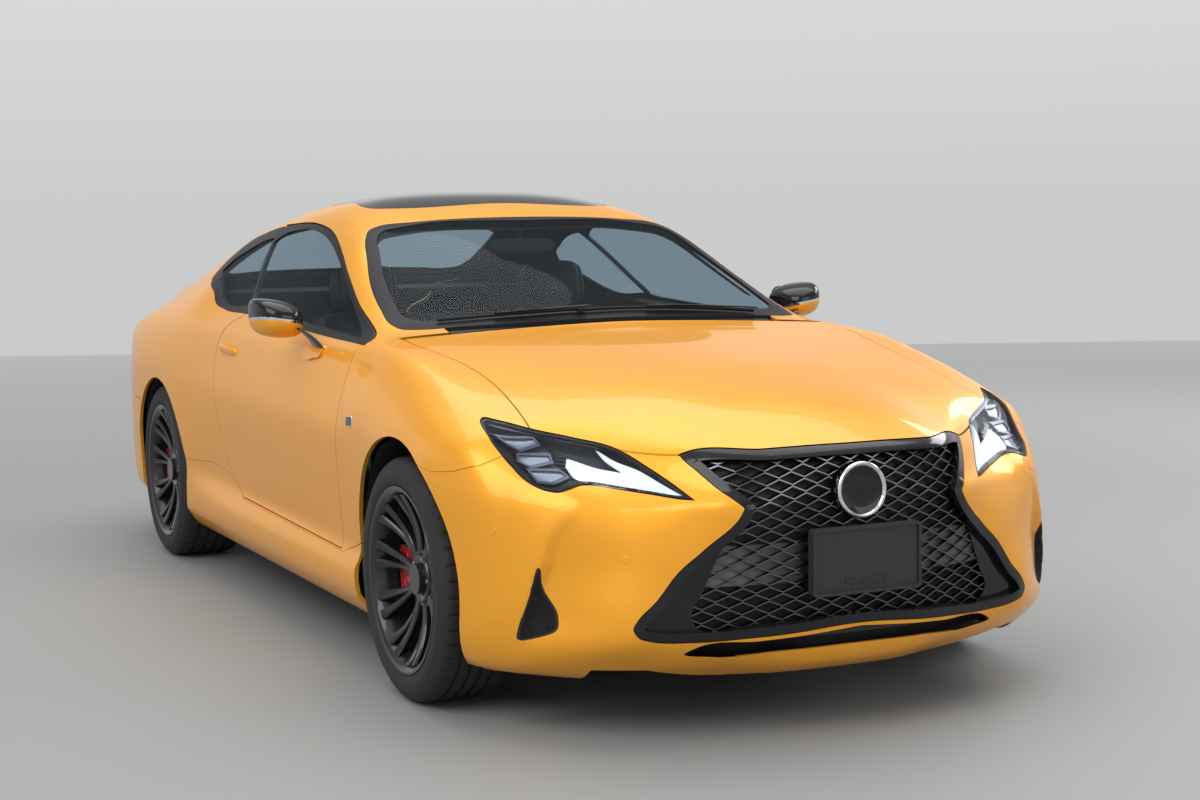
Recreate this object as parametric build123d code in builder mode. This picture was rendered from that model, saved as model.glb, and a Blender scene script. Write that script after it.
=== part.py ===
"""Two-door coupe car, built as separate panels, running gear and cabin pieces.

Frame: +X is the car's left, -Y its front, +Z up. The origin is on the ground,
under the middle of the car. All sizes are in millimetres.
"""
from build123d import *
from collections import namedtuple
from math import cos, radians, sin
import os

# ---------------------------------------------------------------- driving sizes
overall_length = 4695
wheelbase = 2730
front_axle_y = -1422.5
rear_axle_y = front_axle_y + wheelbase
plate_depth = 16            # the number plate holder stands out in front of the nose
nose_y = -overall_length / 2 + plate_depth
tail_y = overall_length / 2
floor_z = 160               # underside of the body

# panel thickness
skin = 30                   # bumpers, wings, skirts and lids
door_wall = 80              # doors and body sides below the belt
frame_wall = 36             # pillars, roof and window frames
glass_thickness = 5
glass_recess = 4            # how far the glass sits below the paint

# gaps
shut_gap = 9                # between a moving panel and its opening
running_clearance = 0.05    # radial, at pins and spindles
end_gap = 2                 # beside a turning piece on its pin
sliver_volume = 1000        # scraps smaller than this are dropped

# wheels
tyre_radius = 334
axle_z = tyre_radius        # wheel centre above the ground
rim_bead_radius = 241
rim_flange_radius = 257
spoke_count = 10
front_wheel_x = 790
rear_wheel_x = 780
front_tyre_width = 235
rear_tyre_width = 265
front_hub_face_x = 847
rear_hub_face_x = 868
spindle_radius = 28
hub_cap_radius = 42
hub_cap_length = 13
hub_radius = 74
disc_radius = 165
disc_thickness = 26
front_arch_room = 57        # from the tread to the wheel arch
rear_arch_room = 30
front_arch_radius = tyre_radius + front_arch_room
rear_arch_radius = tyre_radius + rear_arch_room
arch_inner_x = 478          # inboard wall of the wheel arches
liner_wall = 10
kingpin_x = 755
kingpin_radius = 12

# hinges
door_hinge_x = 884
door_hinge_y = -788
door_pin_radius = 6
door_nose_radius = 125      # the door ahead of its hinge swings inward within this radius
bonnet_hinge_y = -958
bonnet_hinge_z = 945
boot_hinge_y = 1560
boot_hinge_z = 985
lid_pin_radius = 5

# steering wheel
steering_x = 370
steering_y = -430
steering_z = 800
steering_tilt = 24          # column above the horizontal, degrees
steering_radius = 180

# -------------------------------------------------------- body cross-sections
# One row per station along the car. After y and the height on the centre line,
# each pair is the x and z of one corner of the outline, from the roof down:
# crown, rail, belt, shoulder, waist, sill; then the half width of the underside.
Station = namedtuple("Station", "y top crown rail belt shoulder waist sill bottom")
stations = [
    Station(nose_y - 88.5, 665, (250, 655), (413, 630), (560, 612), (700, 585), (800, 540), (805, 300),
            700),
    Station(nose_y + 231.5, 812, (250, 790), (413, 737), (590, 700), (760, 655), (885, 600), (890, 290),
            800),
    Station(nose_y + 541.5, 880, (250, 868), (500, 840), (695, 801), (800, 774), (908, 665), (912, 270),
            840),
    Station(-1422, 930, (250, 924), (500, 912), (692, 891), (803, 876), (920, 690), (916, 250), 850),
    Station(-1060, 968, (250, 964), (500, 956), (737, 945), (806, 934), (904, 690), (902, 230), 850),
    Station(-960, 985, (300, 977), (640, 962), (742, 954), (812, 934), (902, 690), (900, 230), 850),
    Station(-860, 1026, (400, 1004), (672, 974), (782, 948), (830, 925), (900, 690), (900, 230), 850),
    Station(-500, 1180, (400, 1156), (655, 1098), (796, 945), (842, 920), (898, 690), (900, 230), 850),
    Station(-168, 1303, (400, 1288), (590, 1248), (802, 956), (846, 928), (897, 690), (900, 230), 850),
    Station(288, 1395, (400, 1368), (562, 1308), (806, 970), (850, 938), (896, 690), (900, 230), 850),
    Station(700, 1378, (400, 1349), (568, 1284), (806, 980), (860, 940), (900, 680), (900, 230), 850),
    Station(1100, 1308, (400, 1286), (566, 1240), (752, 1066), (880, 930), (922, 690), (905, 230), 850),
    Station(1500, 1200, (400, 1186), (570, 1150), (735, 1032), (880, 915), (926, 690), (910, 240), 850),
    Station(1860, 1086, (420, 1076), (600, 1048), (725, 968), (858, 890), (912, 690), (900, 250), 820),
    Station(tail_y - 227.5, 1058, (420, 1048), (590, 1020), (710, 905), (830, 850), (890, 680), (880,
                                                                                                 270),
                                                                                                 780),
    Station(tail_y + 72.5, 1040, (420, 1028), (570, 990), (690, 870), (780, 800), (850, 660), (830, 300),
            700),
]

# plan outline of the two ends, half widths and y
nose_plan = [(0, nose_y), (332, nose_y + 50), (572, nose_y + 122), (705, nose_y + 235),
             (800, nose_y + 365), (880, nose_y + 510), (925, nose_y + 660), (960, nose_y + 900)]
tail_plan = [(960, tail_y - 900), (925, tail_y - 640), (870, tail_y - 330), (790, tail_y - 180),
             (620, tail_y - 80), (330, tail_y - 20), (0, tail_y)]
# side outline of the two ends, y and z
nose_side = [(nose_y + 110, 140), (nose_y + 12, 230), (nose_y, 430), (nose_y + 12, 590),
             (nose_y + 50, 728), (nose_y + 130, 900), (nose_y + 130, 1500)]
tail_side = [(tail_y - 45, 1500), (tail_y - 45, 1040), (tail_y - 22, 900), (tail_y - 22, 740),
             (tail_y, 640), (tail_y, 420), (tail_y - 60, 260), (tail_y - 220, 140)]


# ------------------------------------------------------------------- helpers
def plane_y(y):
    """A plane across the car at y, with its local axes along X and Z."""
    return Plane.XZ.offset(-y)


def plane_x(x):
    """A plane along the car at x, with its local axes along Y and Z."""
    return Plane.YZ.offset(x)


def prism(plane, points, depth, grow):
    """Extrude a closed outline, first grown on every side by grow."""
    with BuildPart() as solid:
        with BuildSketch(plane):
            with BuildLine():
                Polyline(*points, close=True)
            make_face()
            if grow:
                offset(amount=grow, kind=Kind.INTERSECTION)
        extrude(amount=depth)
    return solid.part


def across(points, y_from, y_to, grow=0):
    """A prism whose outline is given as x and z."""
    return prism(plane_y(y_to), points, y_to - y_from, grow)


def along(points, x_from, x_to, grow=0):
    """A prism whose outline is given as y and z."""
    return prism(plane_x(x_from), points, x_to - x_from, grow)


def upright(points, z_from, z_to, grow=0):
    """A prism whose outline is given as x and y."""
    return prism(Plane.XY.offset(z_from), points, z_to - z_from, grow)


def block(x_from, x_to, y_from, y_to, z_from, z_to):
    """A plain box between six planes."""
    corners = [(x_from, y_from), (x_to, y_from), (x_to, y_to), (x_from, y_to)]
    return upright(corners, z_from, z_to)


def rod(radius, x_from, x_to, y, z):
    """A cylinder along X."""
    with BuildPart() as cylinder:
        with BuildSketch(plane_x(x_from)):
            with Locations((y, z)):
                Circle(radius)
        extrude(amount=x_to - x_from)
    return cylinder.part


def post(radius, x, y, z_from, z_to):
    """A cylinder along Z."""
    with BuildPart() as cylinder:
        with BuildSketch(Plane.XY.offset(z_from)):
            with Locations((x, y)):
                Circle(radius)
        extrude(amount=z_to - z_from)
    return cylinder.part


def both_ways(half_points):
    """An outline and its mirror image across the centre plane."""
    return half_points + [(-x, other) for x, other in reversed(half_points) if x != 0]


def inward(points, distances):
    """Move each corner of a half outline inwards by its own distance."""
    moved = []
    count = len(points)
    for index, (x, z) in enumerate(points):
        before = points[index - 1] if index > 0 else (-points[1][0], points[1][1])
        after = points[index + 1] if index < count - 1 else (-points[-2][0], points[-2][1])
        first = Vector(x - before[0], z - before[1], 0).normalized()
        second = Vector(after[0] - x, after[1] - z, 0).normalized()
        normal = Vector(-first.Y - second.Y, first.X + second.X, 0)
        spread = 1 + first.dot(second)
        scale = distances[index] / spread
        moved.append((0 if x == 0 else x + normal.X * scale, z + normal.Y * scale))
    return moved


def body_form(low, high, ends):
    """The whole body, solid, set in by low below the belt and by high above it."""
    with BuildPart() as form:
        for row in stations:
            half = [(0, floor_z), (row.bottom, floor_z), row.sill, row.waist, row.shoulder,
                    row.belt, row.rail, row.crown, (0, row.top)]
            half = inward(half, [low] * 5 + [high] * 4)
            with BuildSketch(plane_y(row.y)):
                with BuildLine():
                    Polyline(*both_ways(half), close=True)
                make_face()
        loft(ruled=True)
        with BuildSketch(Plane.XY, mode=Mode.PRIVATE) as plan:
            with BuildLine():
                Polyline(*both_ways(nose_plan + tail_plan), close=True)
            make_face()
            if ends:
                offset(amount=-ends, kind=Kind.INTERSECTION)
        extrude(plan.sketch, amount=1500, mode=Mode.INTERSECT)
        with BuildSketch(plane_x(-1100), mode=Mode.PRIVATE) as side:
            with BuildLine():
                Polyline(*(nose_side + tail_side), close=True)
            make_face()
            if ends:
                offset(amount=-ends, kind=Kind.INTERSECTION)
        extrude(side.sketch, amount=2200, mode=Mode.INTERSECT)
    return form.part


def cut_from(form, keep, remove):
    """The part of a form inside every prism in keep and outside every one in remove."""
    with BuildPart() as piece:
        add(form)
        for tool in keep:
            add(tool, mode=Mode.INTERSECT)
        for tool in remove:
            add(tool, mode=Mode.SUBTRACT)
    return piece.part


def joined(first, others):
    """Several overlapping or touching solids as one."""
    with BuildPart() as whole:
        add(first)
        for other in others:
            add(other)
    return whole.part


def whole_pieces(part):
    """The solids of a part that are bigger than a sliver."""
    return Compound([solid for solid in part.solids() if solid.volume > sliver_volume])


def mirrored(part):
    """The same piece on the car's other side."""
    return part.mirror(Plane.YZ)


def pair(part):
    """A piece and its mirror image, as separate solids of one node."""
    return Compound([part, mirrored(part)])


os.makedirs("parts", exist_ok=True)


def save(part, name):
    """Label a finished piece and write it."""
    part.label = name
    export_step(part, f"parts/{name}.step")


# ------------------------------------------------------------- the body forms
outer = body_form(0, 0, 0)
skin_void = body_form(skin, skin, skin)
cabin_void = body_form(door_wall, frame_wall, skin)
glass_face = body_form(glass_recess, glass_recess, glass_recess)
glass_back = body_form(*[glass_recess + glass_thickness] * 3)

front_arches = joined(rod(front_arch_radius, arch_inner_x, 1100, front_axle_y, axle_z),
                      [rod(front_arch_radius, -1100, -arch_inner_x, front_axle_y, axle_z)])
rear_arches = joined(rod(rear_arch_radius, arch_inner_x, 1100, rear_axle_y, axle_z),
                     [rod(rear_arch_radius, -1100, -arch_inner_x, rear_axle_y, axle_z)])

# --------------------------------------------------------------- shut lines
# side outlines, y and z
door_side = [(-862, 942), (-379, 1134), (-59, 1226), (158, 1276), (426, 1290), (712, 1235),
             (335, 1030), (425, 973), (558, 870), (585, 740), (527, 592), (359, 411),
             (252, 348), (-840, 340), (-874, 690)]
door_glass_side = [(-770, 958), (-379, 1110), (-59, 1200), (158, 1248), (420, 1262), (628, 1222),
                   (300, 1044), (262, 990)]
quarter_glass_side = [(420, 1024), (800, 1020), (1075, 1084), (1000, 1150), (790, 1220), (752, 1226),
                      (400, 1042)]
# plan outlines, half widths and y
bonnet_plan = [(0, nose_y + 33.5), (250, nose_y + 69.5), (413, nose_y + 191.5), (531, nose_y + 305.5),
               (719, nose_y + 420.5), (693, nose_y + 543.5), (686, -1623), (692, -1444), (709, -1262),
               (728, -1100), (722, -990), (560, -982), (0, -976)]
windscreen_plan = [(0, -918), (400, -893), (655, -815), (640, -600), (530, -186), (300, -172),
                   (0, -165)]
rear_window_plan = [(0, 1085), (430, 1105), (505, 1250), (548, 1500), (560, 1700), (500, 1835),
                    (380, 1866), (0, 1870)]
roof_half_width = 500
roof_front_y = -120
roof_rear_y = 1040
sunroof_half_width = 430
sunroof_front_y = 20
sunroof_rear_y = 560
# outlines seen from the front or the back, x and z
headlamp_face = [(415, 617), (705, 641), (860, 700), (806, 786), (700, 772), (531, 727)]
headlamp_rear_y = nose_y + 539.5
grille_face = [(0, 250), (420, 250), (575, 285), (520, 430), (335, 590), (413, 705), (0, 735)]
lid_face = [(0, 700), (455, 700), (455, 880), (575, 950), (575, 1300), (0, 1300)]
tail_lamp_face = [(463, 800), (640, 770), (900, 800), (900, 880), (720, 925), (583, 946), (463, 878)]
tail_lamp_front_y = tail_y - 337.5
boot_front_y = 1878
boot_front_gap = 22          # the lid's front edge swings forward as it lifts
bonnet_swing_gap = 13        # the bonnet's rear corners swing back over the wings
# heights and places of the other joints between fixed panels
wing_bottom_z = 662
skirt_top_z = 340
bumper_rear_y = -1700
rear_bumper_top_z = 690
rear_bumper_front_y = rear_axle_y + 292.5
body_side_front_y = -905
wing_front_y = nose_y + 501.5
grille_rear_y = nose_y + 281.5
before_nose_y = nose_y - 268.5
behind_tail_y = tail_y + 252.5

door_opening = along(door_side, 450, 1100)
door_openings = joined(door_opening, [mirrored(door_opening)])
bonnet_bottom_z = 700
bonnet_zone = upright(both_ways(bonnet_plan), bonnet_bottom_z, 1100)
windscreen_zone = upright(both_ways(windscreen_plan), 940, 1400)
rear_window_zone = upright(both_ways(rear_window_plan), 1000, 1400)
headlamp_zone = across(headlamp_face, before_nose_y, headlamp_rear_y)
headlamp_zones = joined(headlamp_zone, [mirrored(headlamp_zone)])
grille_zone = across(both_ways(grille_face), before_nose_y, grille_rear_y)
lid_zone = across(both_ways(lid_face), boot_front_y, behind_tail_y)
tail_lamp_zone = across(tail_lamp_face, tail_lamp_front_y, behind_tail_y)
tail_lamp_zones = joined(tail_lamp_zone, [mirrored(tail_lamp_zone)])
front_bumper_zone = along([(before_nose_y, 100), (bumper_rear_y, 100), (bumper_rear_y, wing_bottom_z),
                           (wing_front_y, wing_bottom_z), (wing_front_y, 900), (before_nose_y, 900)],
                          -1100, 1100)
rear_bumper_zone = along([(rear_bumper_front_y, 100), (behind_tail_y, 100), (behind_tail_y,
                                                                             rear_bumper_top_z),
                          (rear_bumper_front_y, rear_bumper_top_z)], -1100, 1100)
skirt_zone = block(-1100, 1100, -1300, rear_bumper_front_y, 100, skirt_top_z)
skirt_side_zone = joined(block(600, 1100, -1300, rear_bumper_front_y, 100, skirt_top_z),
                         [block(-1100, -600, -1300, rear_bumper_front_y, 100, skirt_top_z)])
cabin_zone = block(-1100, 1100, body_side_front_y, behind_tail_y, 100, 1600)
roof_zone = block(-roof_half_width, roof_half_width, roof_front_y, roof_rear_y, 1100, 1500)

# --------------------------------------------------------------- outer panels
# bonnet, with a lug on each hinge pin
bonnet_lug_x = (590, 606)
bonnet_ear_x = ((572, 582), (614, 624))
bonnet_lug_side = [(-1110, 898), (-1110, 922), (bonnet_hinge_y, bonnet_hinge_z + 11),
                   (bonnet_hinge_y + 11, bonnet_hinge_z), (bonnet_hinge_y, bonnet_hinge_z - 11)]
bonnet_panel = cut_from(outer, [upright(both_ways(bonnet_plan), bonnet_bottom_z + shut_gap, 1100,
                                        -shut_gap)],
                        [skin_void])
bonnet_relief = block(bonnet_lug_x[1], 760, bonnet_plan[-3][1] - bonnet_swing_gap, bonnet_hinge_y,
                      bonnet_bottom_z, 1100)
bonnet_lug = along(bonnet_lug_side, *bonnet_lug_x)
bonnet_bore = rod(lid_pin_radius + running_clearance, -700, 700, bonnet_hinge_y, bonnet_hinge_z)
bonnet_panel = cut_from(bonnet_panel, [], [bonnet_relief, mirrored(bonnet_relief)])
bonnet = cut_from(joined(bonnet_panel, [bonnet_lug, mirrored(bonnet_lug)]), [], [bonnet_bore])
save(bonnet, "bonnet")

# boot lid, with a curved arm on each hinge pin that clears the edge of the opening
arm_x = (430, 446)
arm_ear_x = ((414, 424), (452, 462))
arm_width = 20
arm_path = [(0, 0), (80, -230), (130, -360), (260, -400), (420, -330), (480, 0), (480, 62)]
lid_panel = cut_from(outer, [across(both_ways(lid_face), boot_front_y + boot_front_gap, behind_tail_y,
                                    -shut_gap),
                             block(-900, 900, boot_front_y + boot_front_gap, behind_tail_y, 600, 1300)],
                     [skin_void])
with BuildPart() as lid_arm:
    with BuildSketch(plane_x(arm_x[0])):
        with BuildLine():
            arm_points = [(boot_hinge_y + y, boot_hinge_z + z) for y, z in arm_path]
            Polyline(*arm_points)
            offset(amount=arm_width / 2, side=Side.BOTH)
        make_face()
    extrude(amount=arm_x[1] - arm_x[0])
boot_bore = rod(lid_pin_radius + running_clearance, -700, 700, boot_hinge_y, boot_hinge_z)
boot_lid = cut_from(joined(lid_panel, [lid_arm.part, mirrored(lid_arm.part)]), [], [boot_bore])
save(boot_lid, "boot_lid")

# doors: solid walls with a window hole, and notches for the hinge arms
door_hinge_heights = (430, 638)
hinge_arm_half = 15
hinge_notch_half = hinge_arm_half + end_gap
hinge_pin_half = 48
door_notches = [block(700, door_hinge_x + 11, -900, door_hinge_y + 16, z - hinge_notch_half,
                      z + hinge_notch_half) for z in door_hinge_heights]
door_bores = [post(door_pin_radius + running_clearance, door_hinge_x, door_hinge_y,
                   z - hinge_pin_half - end_gap, z + hinge_pin_half + end_gap)
              for z in door_hinge_heights]
door_nose = cut_from(block(450, door_hinge_x, -900, door_hinge_y, 300, 1100), [],
                     [post(door_nose_radius, door_hinge_x, door_hinge_y, 200, 1200)])
door_window = along(door_glass_side, 450, 1100)
door = cut_from(outer, [along(door_side, 450, 1100, -shut_gap)],
                [cabin_void, door_window, door_nose, *door_notches, *door_bores])
save(door, "door_left")
save(mirrored(door), "door_right")
door_glass = cut_from(glass_face, [door_window], [glass_back])
save(door_glass, "door_glass_left")
save(mirrored(door_glass), "door_glass_right")

# hinge pins and arms, fixed to the pillars
pillar_x = (700, 745)
with BuildPart() as hinges:
    for z in door_hinge_heights:
        add(block(pillar_x[1], door_hinge_x, door_hinge_y - 9, door_hinge_y + 9,
                  z - hinge_arm_half, z + hinge_arm_half))
        add(post(door_pin_radius + 3, door_hinge_x, door_hinge_y, z - hinge_arm_half, z + hinge_arm_half))
        add(post(door_pin_radius, door_hinge_x, door_hinge_y, z - hinge_pin_half, z + hinge_pin_half))
save(pair(hinges.part), "door_hinges")

# door mirrors
mirror_foot = across([(796, 915), (862, 905), (905, 985), (880, 1000), (800, 935)], -500, -440)
with BuildPart() as mirror_case:
    with BuildSketch(plane_x(880)):
        with BuildLine():
            Polyline((-500, 965), (-370, 968), (-356, 1012), (-372, 1066), (-450, 1062), (-505, 1005),
                     close=True)
        make_face()
    with BuildSketch(plane_x(1013)):
        with BuildLine():
            Polyline((-440, 1000), (-380, 1003), (-372, 1022), (-380, 1050), (-420, 1048),
                     (-446, 1020), close=True)
        make_face()
    loft(ruled=True)
    add(mirror_foot)
    add(outer, mode=Mode.SUBTRACT)
door_mirror = mirror_case.part
save(door_mirror, "door_mirror_left")
save(mirrored(door_mirror), "door_mirror_right")

# fixed panels
arches = [front_arches, rear_arches]
wing_side = [(wing_front_y, wing_bottom_z), (wing_front_y, 1100), (body_side_front_y, 1100),
             (body_side_front_y, 942),
             (-835, 942), (-835, skirt_top_z), (-1300, skirt_top_z), (-1300, 500), (bumper_rear_y, 500),
             (bumper_rear_y, wing_bottom_z)]
cowl_half_width = 640
cowl_side_x = bonnet_ear_x[0][0] - 8
cowl_cut = block(-cowl_half_width, cowl_half_width, -1500, -800, 600, 1100)
wings = cut_from(outer, [along(wing_side, -1100, 1100)],
                 [skin_void, bonnet_zone, headlamp_zones, front_arches, door_openings, cowl_cut])
save(whole_pieces(wings), "front_wings")

front_bumper = cut_from(outer, [front_bumper_zone],
                        [skin_void, bonnet_zone, headlamp_zones, grille_zone, front_arches])
save(whole_pieces(front_bumper), "front_bumper")
save(cut_from(outer, [grille_zone], [skin_void, bonnet_zone]), "grille")
save(cut_from(outer, [headlamp_zones], [skin_void, bonnet_zone]), "headlamps")

skirts = cut_from(outer, [skirt_side_zone], [skin_void, front_arches, rear_arches])
save(skirts, "side_skirts")

exhaust_x = 290
exhaust_z = 245
exhaust_radius = 38
tip_holes = []
for side in (-1, 1):
    with BuildPart() as tip_hole:
        with BuildSketch(plane_y(tail_y + 52.5)):
            with Locations((side * exhaust_x, exhaust_z)):
                Circle(exhaust_radius + 6)
        extrude(amount=300)
    tip_holes.append(tip_hole.part)
rear_bumper = cut_from(outer, [rear_bumper_zone],
                       [skin_void, rear_arches, *tip_holes, block(-700, 700, 1500, tail_y - 167.5, 100,
                                                                  205)])
save(rear_bumper, "rear_bumper")

quarter_window = along(quarter_glass_side, 450, 1100)
body_shell = cut_from(outer, [cabin_zone],
                      [cabin_void, door_openings, windscreen_zone, rear_window_zone, roof_zone,
                       quarter_window, mirrored(quarter_window), lid_zone, tail_lamp_zones,
                       rear_bumper_zone, skirt_zone, rear_arches,
                       along(wing_side, -1100, 1100),
                       block(-cowl_side_x, cowl_side_x, -1200, -880, 100, 1100),
                       block(-pillar_x[1], pillar_x[1], -2000, 1600, 100, 930)])
save(body_shell, "body_shell")
save(cut_from(outer, [tail_lamp_zones], [skin_void, lid_zone]), "tail_lamps")

sunroof_corners = [(-sunroof_half_width, sunroof_front_y), (sunroof_half_width, sunroof_front_y),
                   (sunroof_half_width, sunroof_rear_y), (-sunroof_half_width, sunroof_rear_y)]
sunroof_zone = upright(sunroof_corners, 1100, 1500)
roof_panel = cut_from(outer, [roof_zone], [cabin_void, sunroof_zone, windscreen_zone, rear_window_zone])
save(roof_panel, "roof_panel")

windows = [cut_from(glass_face, [zone], [glass_back])
           for zone in (windscreen_zone, rear_window_zone, sunroof_zone)]
side_window = cut_from(glass_face, [quarter_window], [glass_back])
save(Compound([*windows, side_window, mirrored(side_window)]), "fixed_windows")
# ---------------------------------------------------------------- under body
rocker_x = (700, 860)
boot_floor_z = 300
liner_ring_front = front_arch_radius + liner_wall
liner_ring_rear = rear_arch_radius + liner_wall
liner_back_x = arch_inner_x - liner_wall
wheel_houses = []
for axle_y, hole_radius, ring_radius in ((front_axle_y, front_arch_radius, liner_ring_front),
                                         (rear_axle_y, rear_arch_radius, liner_ring_rear)):
    housing = cut_from(rod(ring_radius, liner_back_x, 1000, axle_y, axle_z),
                       [skin_void if axle_y < 0 else cabin_void, block(0, 1000, nose_y, tail_y, 230,
                                                                       1000)],
                       [rod(hole_radius, arch_inner_x, 1001, axle_y, axle_z),
                        block(0, 600, axle_y - 75, axle_y + 75, 150, axle_z + 186), bonnet])
    wheel_houses += [housing, mirrored(housing)]
save(Compound(wheel_houses), "wheel_liners")

floor_top_z = 200
tunnel_half_width = 120
tunnel_top_z = 330
floor_rear_y = rear_axle_y - 407.5
floor_parts = [block(-rocker_x[0], rocker_x[0], body_side_front_y, floor_rear_y, floor_z + skin,
                     floor_top_z + 20),
               block(-tunnel_half_width, tunnel_half_width, body_side_front_y, floor_rear_y,
                     floor_z + skin,
                     tunnel_top_z)]
rocker = block(*rocker_x, body_side_front_y, floor_rear_y, floor_z + skin, skirt_top_z - 10)
boot_floor = block(-arch_inner_x + 12, arch_inner_x - 12, floor_rear_y, tail_y - 97.5,
                   boot_floor_z, boot_floor_z + 20)
seat_step = block(-700, 700, floor_rear_y - 20, floor_rear_y, floor_z + skin, boot_floor_z + 20)
floor_pan = cut_from(joined(floor_parts[0], [floor_parts[1], rocker, mirrored(rocker), boot_floor,
                                             seat_step]),
                     [skin_void], [rod(liner_ring_rear, liner_back_x, 1000, rear_axle_y, axle_z),
                                   rod(liner_ring_rear, -1000, -liner_back_x, rear_axle_y, axle_z),
                                   rod(liner_ring_front, liner_back_x, 1000, front_axle_y, axle_z),
                                   rod(liner_ring_front, -1000, -liner_back_x, front_axle_y, axle_z)])
save(floor_pan, "floor_pan")

# firewall with a pillar each side for the door hinges
firewall_y = (-935, body_side_front_y)
firewall_top_z = 905
pillar = block(*pillar_x, firewall_y[1], door_hinge_y + 50, skirt_top_z - 10, 900)
firewall = joined(block(-pillar_x[1], pillar_x[1], *firewall_y, floor_z + skin, firewall_top_z),
                  [pillar, mirrored(pillar)])
bonnet_ears = []
for ear in bonnet_ear_x:
    bonnet_ears.append(along([(bonnet_hinge_y - 10, bonnet_hinge_z - 8), (bonnet_hinge_y,
                                                                          bonnet_hinge_z + 11),
                              (firewall_y[0], bonnet_hinge_z + 2), (firewall_y[0], 870),
                              (bonnet_hinge_y, bonnet_hinge_z - 18)], *ear))
bonnet_pin = rod(lid_pin_radius, bonnet_ear_x[0][0], bonnet_ear_x[1][1], bonnet_hinge_y, bonnet_hinge_z)
bonnet_hinge = joined(bonnet_ears[0], [bonnet_ears[1], bonnet_pin])
firewall_lift = block(bonnet_ear_x[0][0], bonnet_ear_x[1][1], *firewall_y, firewall_top_z,
                      bonnet_hinge_z + 2)
firewall = joined(firewall, [bonnet_hinge, firewall_lift, mirrored(bonnet_hinge), mirrored(firewall_lift)])
save(firewall, "firewall")

# cowl tray below the windscreen, with its front part clear of the bonnet's swing
cowl_front_y = -1010
cowl_top_z = firewall_top_z + 18
cowl_tray = block(-cowl_side_x, cowl_side_x, cowl_front_y, -900, firewall_top_z, cowl_top_z)
cowl_lip = cut_from(outer, [upright(both_ways(windscreen_plan), firewall_top_z, 1100, 12),
                            block(-cowl_side_x, cowl_side_x, -1200, -880, firewall_top_z, 1100)],
                    [upright(both_ways(windscreen_plan), 800, 1200)])
cowl = joined(cowl_tray, [cowl_lip])
save(cowl, "cowl_panel")

# rails, bumper beam and radiator panel ahead of the firewall
rail_x = (380, liner_back_x)
rail_z = (400, 500)
beam_y = nose_y + 116.5
radiator_y = nose_y + 241.5
beam = cut_from(skin_void, [block(-700, 700, before_nose_y, beam_y + 30, *rail_z)], [])
rail = block(*rail_x, beam_y, firewall_y[0], *rail_z)
radiator_panel = block(-rail_x[1], rail_x[1], radiator_y, radiator_y + 30, 260, 640)
front_frame = cut_from(joined(beam, [rail, mirrored(rail), radiator_panel]), [skin_void], [])
save(front_frame, "front_frame")

# engine as one block on the axle beam
engine_z = (300, 760)
engine = block(-240, 240, front_axle_y - 330, -990, *engine_z)
with BuildPart() as engine_block:
    add(engine)
    chamfer(engine_block.edges().filter_by(Axis.Y), 60)
save(engine_block.part, "engine")

# ------------------------------------------------------------------ front axle
arm_half = 18
arm_end = 14                # beyond the kingpin's axis
lower_arm_z = (axle_z - 134, axle_z - 104)
upper_arm_z = (axle_z + 104, axle_z + 130)
subframe_z = (230, engine_z[0])
axle_beam = block(-rail_x[1] + 20, rail_x[1] - 20, front_axle_y - 60, front_axle_y + 60, *subframe_z)
tower = block(rail_x[0], rail_x[1] - 8, front_axle_y - 40, front_axle_y + 40, lower_arm_z[0],
              upper_arm_z[1])
lower_arm = block(rail_x[0], kingpin_x + arm_end, front_axle_y - arm_half, front_axle_y + arm_half,
                  *lower_arm_z)
upper_arm = block(rail_x[0], kingpin_x + arm_end, front_axle_y - arm_half, front_axle_y + arm_half,
                  *upper_arm_z)
kingpin = post(kingpin_radius, kingpin_x, front_axle_y, lower_arm_z[0], upper_arm_z[1])
half_axle = joined(tower, [lower_arm, upper_arm, kingpin])
front_axle = cut_from(joined(axle_beam, [half_axle, mirrored(half_axle)]), [], [rail, mirrored(rail)])
save(front_axle, "front_axle")


def wheel_carrier(inner_x, outer_x, hub_face_x):
    """A knuckle block with its spindle, hub cap and brake caliper, on the left side."""
    disc_x = hub_face_x - 62
    core = block(inner_x, outer_x, -45, 45, axle_z - 104 + end_gap, axle_z + 104 - end_gap)
    spindle = rod(spindle_radius, outer_x, hub_face_x + 4, 0, axle_z)
    cap = rod(hub_cap_radius, hub_face_x + 1, hub_face_x + 1 + hub_cap_length, 0, axle_z)
    caliper = block(disc_x - 20, disc_x + disc_thickness + 15, 105, 203, axle_z - 62, axle_z + 62)
    caliper = cut_from(caliper, [], [rod(disc_radius + 6, disc_x - 6, disc_x + disc_thickness + 6, 0,
                                         axle_z)])
    bracket = block(inner_x + 4, outer_x - 2, 40, 150, axle_z - 45, axle_z + 45)
    bridge = block(inner_x + 4, disc_x - 16, 106, 150, axle_z - 45, axle_z + 45)
    return joined(core, [spindle, cap, caliper, bracket, bridge])


knuckle_core_x = (kingpin_x - 22, kingpin_x + 22)
carrier = wheel_carrier(*knuckle_core_x, front_hub_face_x).moved(Location((0, front_axle_y, 0)))
knuckle = cut_from(carrier, [], [post(kingpin_radius + running_clearance, kingpin_x, front_axle_y, 0,
                                      900)])
save(knuckle, "front_knuckle_left")
save(mirrored(knuckle), "front_knuckle_right")

# rear axle: cross beam, arms, carriers
rear_carrier = wheel_carrier(*knuckle_core_x, rear_hub_face_x).moved(Location((0, rear_axle_y, 0)))
rear_beam = block(-kingpin_x, kingpin_x, rear_axle_y - 40, rear_axle_y + 40, 225, boot_floor_z)
rear_axle = joined(rear_beam, [rear_carrier, mirrored(rear_carrier)])
save(rear_axle, "rear_axle")


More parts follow.
